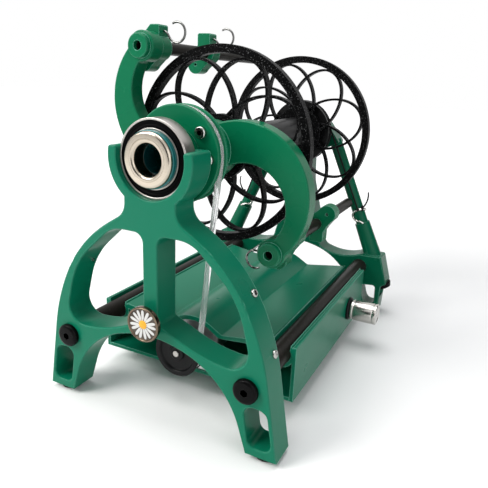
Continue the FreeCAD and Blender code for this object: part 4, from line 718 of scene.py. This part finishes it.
def wireMesh(points, radius, tip):  # a round wire through points in metres, its last end tip times as thick
    curve = bpy.data.curves.new("wire", "CURVE")
    curve.dimensions = "3D"
    curve.bevel_depth = radius / 1000
    curve.bevel_resolution = wireLook["round"]
    curve.resolution_u = wireLook["along"]
    curve.use_fill_caps = True
    spline = curve.splines.new("BEZIER")
    spline.bezier_points.add(len(points) - 1)
    for knot, spot in zip(spline.bezier_points, points):
        knot.co = spot
        knot.handle_left_type = knot.handle_right_type = "AUTO"
    spline.bezier_points[-1].radius = tip
    shape = bpy.data.objects.new("wire", curve)
    bpy.context.collection.objects.link(shape)
    data = bpy.data.meshes.new_from_object(shape.evaluated_get(bpy.context.evaluated_depsgraph_get()))
    bpy.data.objects.remove(shape)
    mesh = bmesh.new()
    mesh.from_mesh(data)
    bpy.data.meshes.remove(data)
    bmesh.ops.remove_doubles(mesh, verts=mesh.verts, dist=wireLook["weld"])
    bmesh.ops.recalc_face_normals(mesh, faces=mesh.faces)
    return mesh


hook = {
    "wire": 0.9, "tip": 0.8, "rodX": 57.1, "rodZ": 71.4, "depth": 6,
    "stem": [(2.0, 12.1), (6.0, 12.0), (8.2, 11.1)], "dip": (11.6, 6.2),
    "loopX": 16.0, "loopZ": 11.9, "radius": 7.4, "from": -95, "to": 122, "loopSteps": 9,
}
hookPlaces = {
    # node: (rod side, carriage front, extra reach, extra lift)
    "hook_1": (-1, 85.5, 1.8, -0.8), "hook_2": (-1, 162, 2.6, 1.15),
    "hook_3": (1, 85.5, 6, 2.4), "hook_4": (1, 172, 0, 0),
}


def hookMesh(spec, side, front, reach, lift):  # out of the carriage, down to the dip and round the loop
    flat = [*spec["stem"], (spec["dip"][0] + reach / 2, spec["dip"][1] + lift / 2)]
    for i in range(spec["loopSteps"] + 1):
        angle = math.radians(spec["from"] + (spec["to"] - spec["from"]) * i / spec["loopSteps"])
        flat.append((spec["loopX"] + reach + math.cos(angle) * spec["radius"],
                     spec["loopZ"] + lift + math.sin(angle) * spec["radius"]))
    points = [place(side * (spec["rodX"] - x), front + spec["depth"], -side * (spec["rodZ"] + z))
              for x, z in flat]
    return wireMesh(points, spec["wire"], spec["tip"])


for node, values in hookPlaces.items():
    standIn(node.replace("_", "") + "Wire", hookMesh(hook, *values), node)
print("hooks made")

belt = {"radius": 2.25, "top": 31, "low": 16, "gap": 151.5, "sides": 20, "topSteps": 72, "lowSteps": 40,
        "weld": 0.01, "smooth": 60}


def beltMesh(spec):  # a round section swept over the flyer pulley, down, round the motor pulley and up again
    top = Vector((midX, boxCentre("drive_belt").y, axisZ))
    low = top - Vector((0, 0, spec["gap"] / 1000))
    lean = math.asin((spec["top"] - spec["low"]) / spec["gap"])
    side = Vector((math.cos(lean), 0, -math.sin(lean)))
    across = Vector((-side.x, 0, side.z))
    mesh = bmesh.new()
    made = bmesh.ops.create_circle(mesh, segments=spec["sides"], radius=spec["radius"] / 1000, cap_ends=False)
    lay = Matrix.Translation(top + side * spec["top"] / 1000) @ Matrix.Rotation(lean, 4, "Y")
    bmesh.ops.transform(mesh, matrix=lay, verts=made["verts"])
    section = list(mesh.verts) + list(mesh.edges)
    taper = (spec["top"] - spec["low"]) / 1000
    runs = ((top, math.pi + 2 * lean, spec["topSteps"], (low - top) - across * taper),
            (low, math.pi - 2 * lean, spec["lowSteps"], (top - low) + side * taper))
    for centre, sweep, steps, run in runs:
        turned = bmesh.ops.spin(mesh, geom=section, cent=centre, axis=(0, -1, 0), angle=sweep, steps=steps)
        drawn = bmesh.ops.extrude_edge_only(mesh, edges=edgesOf(turned["geom_last"]))["geom"]
        verts = vertsOf(drawn)
        bmesh.ops.translate(mesh, vec=run, verts=verts)
        section = verts + [edge for edge in edgesOf(drawn) if all(vert in verts for vert in edge.verts)]
    bmesh.ops.remove_doubles(mesh, verts=mesh.verts, dist=spec["weld"] / 1000)
    bmesh.ops.recalc_face_normals(mesh, faces=mesh.faces)
    return mesh


standIn("driveBelt", beltMesh(belt), "drive_belt", smooth=belt["smooth"])
print("belt made")

knob = {"edge": 0.15, "edgeSteps": 2, "outline": [
    (3.1, 0), (9.3, 0), (9.8, 0.4), (9.8, 2.1), (9.3, 2.5), (9.3, 3.3), (10, 3.8), (10, 20.6), (9.75, 20.9),
    (9.75, 21.5), (10, 21.8), (10, 24.3), (9.3, 25), (7.8, 25), (7.4, 24.6), (0, 24.6), (0, 15), (3.1, 15)]}
collar = {"edge": 0.2, "edgeSteps": 2, "outline": [
    (3.7, 0), (11, 0), (11, 1.7), (10.4, 2.3), (9.6, 2.9), (3.7, 2.9)]}
motorPulley = {"edge": 0.35, "edgeSteps": 3, "outline": [
    (2.55, -6), (5.4, -6), (6, -5.5), (6.4, -4.3), (14.2, -4.3), (14.9, -5.5), (15.5, -6), (19, -6),
    (19, -4.4), (13.45, -1.5), (13.45, 1.5), (19, 4.4), (19, 6), (6.5, 6), (6.5, 12), (2.55, 12)]}

knobSpot = seatCentre("speed_knob", 0)
# the knob's turning marks run round its own axis
finishes["knobAluminium"] = metalMaterial("knobTurned", metals["knobAluminium"], knobSpot)
turnedPiece("speedKnob", "speed_knob", knob, knobSpot, (1, 0, 0))
turnedPiece("knobCollar", "knob_collar", collar, seatCentre("knob_collar", 0), (1, 0, 0))
pulleySpot = boxCentre("motor_shaft")
pulleySpot.y = boxCentre("drive_belt").y
turnedPiece("motorPulley", "motor_pulley", motorPulley, pulleySpot)
print("knob and motor pulley made")

button = {
    "edge": 0.15, "edgeSteps": 2, "outline": [
        (0, 1.1), (11.1, 1.1), (11.35, 0.2), (11.8, 0), (12.3, 0.1), (12.7, 0.7), (12.7, 3.7), (12.0, 4.4),
        (0, 4.4)],
    "ground": 11.1, "groundDeep": 1.05, "groundSteps": 96, "flowerDeep": 0.9,
    "petals": 15, "petalWide": 1.05, "petalLong": 4.0, "petalThick": 0.16, "petalMiddle": 6.7,
    "petalFlare": 0.3, "petalBlunt": 0.7, "petalStray": 5, "petalSteps": (16, 12),
    "petalTilt": [0.0, 0.03, -0.02, 0.04, -0.03, 0.01, 0.02],  # radians, in turn round the flower
    "heart": 3.2, "heartRise": 0.55, "heartSteps": (32, 16),
}


def petalsMesh(spec, middle):
    mesh = bmesh.new()
    tilts = spec["petalTilt"]
    around, up = spec["petalSteps"]
    for i in range(spec["petals"]):
        made = bmesh.ops.create_uvsphere(mesh, u_segments=around, v_segments=up, radius=0.001)
        for vert in made["verts"]:  # a 1 mm ball, made blunter at both ends and wider towards the tip
            along = vert.co.z * 1000
            vert.co.x *= 1 + spec["petalFlare"] * along
            vert.co.z = math.copysign(abs(along) ** spec["petalBlunt"], along) / 1000
        reach = spec["petalMiddle"] + spec["petalStray"] * tilts[i * 3 % len(tilts)]
        turn = 2 * math.pi * i / spec["petals"] + tilts[i % len(tilts)]
        shape = (Matrix.Translation(middle) @ Matrix.Rotation(turn, 4, "Y")
                 @ Matrix.Translation((0, 0, reach / 1000))
                 @ Matrix.Diagonal((spec["petalWide"], spec["petalThick"], spec["petalLong"], 1)))
        bmesh.ops.transform(mesh, matrix=shape, verts=made["verts"])
    return mesh


def buttonPieces(spec):
    spot = seatCentre("button_case", 1)
    turnedPiece("buttonCase", "button_case", spec, spot)
    ground = bmesh.new()
    bmesh.ops.create_circle(ground, segments=spec["groundSteps"], radius=spec["ground"] / 1000, cap_ends=True)
    back = Matrix.Translation(spot + Vector((0, spec["groundDeep"] / 1000, 0)))
    bmesh.ops.transform(ground, matrix=back @ Matrix.Rotation(math.pi / 2, 4, "X"), verts=ground.verts)
    wholePiece("buttonGround", ground, "button_case", finish="buttonGround")
    middle = spot + Vector((0, spec["flowerDeep"] / 1000, 0))
    wholePiece("buttonPetals", petalsMesh(spec, middle), "button_case", finish="petalWhite")
    heart = bmesh.new()
    around, up = spec["heartSteps"]
    bmesh.ops.create_uvsphere(heart, u_segments=around, v_segments=up, radius=0.001)
    swell = Matrix.Diagonal((spec["heart"], spec["heartRise"], spec["heart"], 1))
    bmesh.ops.transform(heart, matrix=Matrix.Translation(middle) @ swell, verts=heart.verts)
    wholePiece("buttonHeart", heart, "button_case", finish="daisyAmber")


buttonPieces(button)
print("button made")

# brake: an open steel hook round each post, and the cord's knot there with its short tail
brake = {
    "topX": 32.6, "topDrop": 8, "footX": 100.2, "footDrop": 158.5, "postY": 290, "height": -84,
    "wire": 1.25, "wireTip": 0.9, "reach": 7.7,
    # turn about the post in degrees, from its front face towards its outer side, and distance down the post
    "path": [(150, 0), (120, -1.0), (85, -2.3), (50, -3.7), (15, -4.1), (-20, -3.0), (-48, -0.4), (-58, 2.4),
             (-44, 5.2), (-18, 7.2), (6, 9.2), (22, 11.6)],
    "knotTurn": 50, "knotOut": 0.6, "knotUp": 4.2, "cord": 0.8, "cordTip": 0.85,
    # the knot's beads: size, then outward, up and forward from the knot
    "beadSteps": 3, "knot": [(1.7, 0, 0, 0), (1.25, 1.0, 1.9, 0.2), (1.2, -0.6, -1.9, 0.1)],
    # the tail: outward, back and up from the knot
    "tail": [(0, 0, 0), (2.6, -1.2, 2.4), (5.2, -2.0, 6.4), (6.2, -2.2, 11.5), (5.6, -1.8, 16.5)],
}


def postFrame(spec, sign):  # the post's middle at the hook, the way down the post and the way outward
    top = place(sign * spec["topX"], spec["postY"], -spec["topDrop"])
    foot = place(sign * spec["footX"], spec["postY"], -spec["footDrop"])
    down = (foot - top).normalized()
    share = (spec["height"] + spec["topDrop"]) / (spec["topDrop"] - spec["footDrop"])
    return top.lerp(foot, share), down, Vector((-sign * down.z, 0, sign * down.x))


def aroundPost(out, turn):
    return Vector((0, -1, 0)) * math.cos(math.radians(turn)) + out * math.sin(math.radians(turn))


def brakePieces(spec):
    wires = []
    knots = []
    for sign in (1, -1):
        middle, down, out = postFrame(spec, sign)
        points = [middle + (aroundPost(out, turn) * spec["reach"] + down * drop) / 1000
                  for turn, drop in spec["path"]]
        wires.append(wireMesh(points, spec["wire"], spec["wireTip"]))
        knot = middle + (aroundPost(out, spec["knotTurn"]) * (spec["reach"] + spec["knotOut"])
                         - down * spec["knotUp"]) / 1000
        for size, outward, up, forward in spec["knot"]:
            bead = bmesh.new()
            bmesh.ops.create_icosphere(bead, subdivisions=spec["beadSteps"], radius=size / 1000)
            spot = knot + (out * outward - down * up + Vector((0, -forward, 0))) / 1000
            bmesh.ops.transform(bead, matrix=Matrix.Translation(spot), verts=bead.verts)
            knots.append(bead)
        tail = [knot + (out * outward + Vector((0, back, up))) / 1000 for outward, back, up in spec["tail"]]
        knots.append(wireMesh(tail, spec["cord"], spec["cordTip"]))
    standIn("brakeHooks", joinMeshes(wires), "brake_rings", finish="nickelPlate")
    wholePiece("brakeKnots", joinMeshes(knots), "brake_cord")


brakePieces(brake)
print("brake made")

# every other node, shaded as the smooth moulding or turning that it is; angles in degrees
skin = {"flatAngle": 0.6, "smooth": 28, "evenWeight": 50, "sleeveTealTo": 14.5}
# the rear frame, its posts and its bearing block take the darker green of painted shade
skinFinish = {
    "rear_frame": "rearGreen", "rear_post_left": "rearGreen", "rear_post_right": "rearGreen",
    "rear_bearing_block": "rearGreen", "bobbin_core": "coreBlack", "bobbin_whorl": "coreBlack",
}


def splitSleeve(mesh, border):  # teal as far as the bearing, green where it meets the pulley
    bmesh.ops.bisect_plane(mesh, geom=mesh.verts[:] + mesh.edges[:] + mesh.faces[:], dist=weld,
                           plane_co=(0, border, 0), plane_no=(0, 1, 0))
    for face in mesh.faces:
        face.material_index = int(face.calc_center_median().y > border)


def skinPiece(node, spec):
    mesh = nodeCopy(node)
    bmesh.ops.dissolve_limit(mesh, angle_limit=math.radians(spec["flatAngle"]), verts=mesh.verts,
                             edges=mesh.edges, use_dissolve_boundaries=False, delimit=set())
    second = None
    if node == "flyer_sleeve":
        second = "flyerGreen"
        splitSleeve(mesh, frontY + spec["sleeveTealTo"] / 1000)
    piece = standIn(node.replace("_", "") + "Skin", mesh, node, finish=skinFinish.get(node), second=second,
                    smooth=spec["smooth"])
    even = piece.modifiers.new("evenNormals", "WEIGHTED_NORMAL")
    even.keep_sharp = True
    even.weight = spec["evenWeight"]


skinNodes = [name for name, node in nodes.items() if not node.hide_render]
for name in skinNodes:
    skinPiece(name, skin)
print("smoothed", len(skinNodes), "nodes")


def squareMesh(half):
    mesh = bmesh.new()
    bmesh.ops.create_grid(mesh, x_segments=1, y_segments=1, size=half)
    return mesh


def makeFloor(spec):  # glows more with the distance, but only for the rays that show the background
    material, shader = newMaterial("paleFloor")
    tree = material.node_tree
    setInputs(shader, {"Base Color": (*spec["floorColour"], 1), "Roughness": spec["floorRough"],
                       "Specular IOR Level": spec["floorGloss"], "Emission Color": (1, 1, 1, 1)})
    where = addNode(tree, "ShaderNodeTexCoord")
    away = addNode(tree, "ShaderNodeVectorMath", operation="LENGTH")
    link(tree, where.outputs["Object"], away.inputs[0])
    fade = rangeMask(tree, away.outputs["Value"], spec["fadeFrom"], spec["fadeTo"], spec["fadeGlow"],
                     interpolation_type="SMOOTHSTEP")
    link(tree, mathNode(tree, "MULTIPLY", fade, seenRays(tree)), shader.inputs["Emission Strength"])
    floor = meshObject("floor", squareMesh(spec["floorHalf"]), material)


def makeFlags(spec):
    material, shader = newMaterial("darkBoard")
    setInputs(shader, {"Base Color": (*spec["flagColour"], 1), "Specular IOR Level": 0})
    for i, (spot, turns, half) in enumerate(spec["flags"]):
        mesh = squareMesh(half)
        aboutX, aboutY, aboutZ = (Matrix.Rotation(math.radians(turn), 4, axis)
                                  for turn, axis in zip(turns, "XYZ"))
        lay = Matrix.Translation(spot) @ aboutZ @ aboutY @ aboutX
        bmesh.ops.transform(mesh, matrix=lay, verts=mesh.verts)
        flag = meshObject("flag%d" % i, mesh, material)
        flag.visible_camera = False
        flag.visible_diffuse = False
        flag.visible_shadow = False
        flag.visible_transmission = False


makeFloor(studio)
makeFlags(studio)
print("floor and boards set")
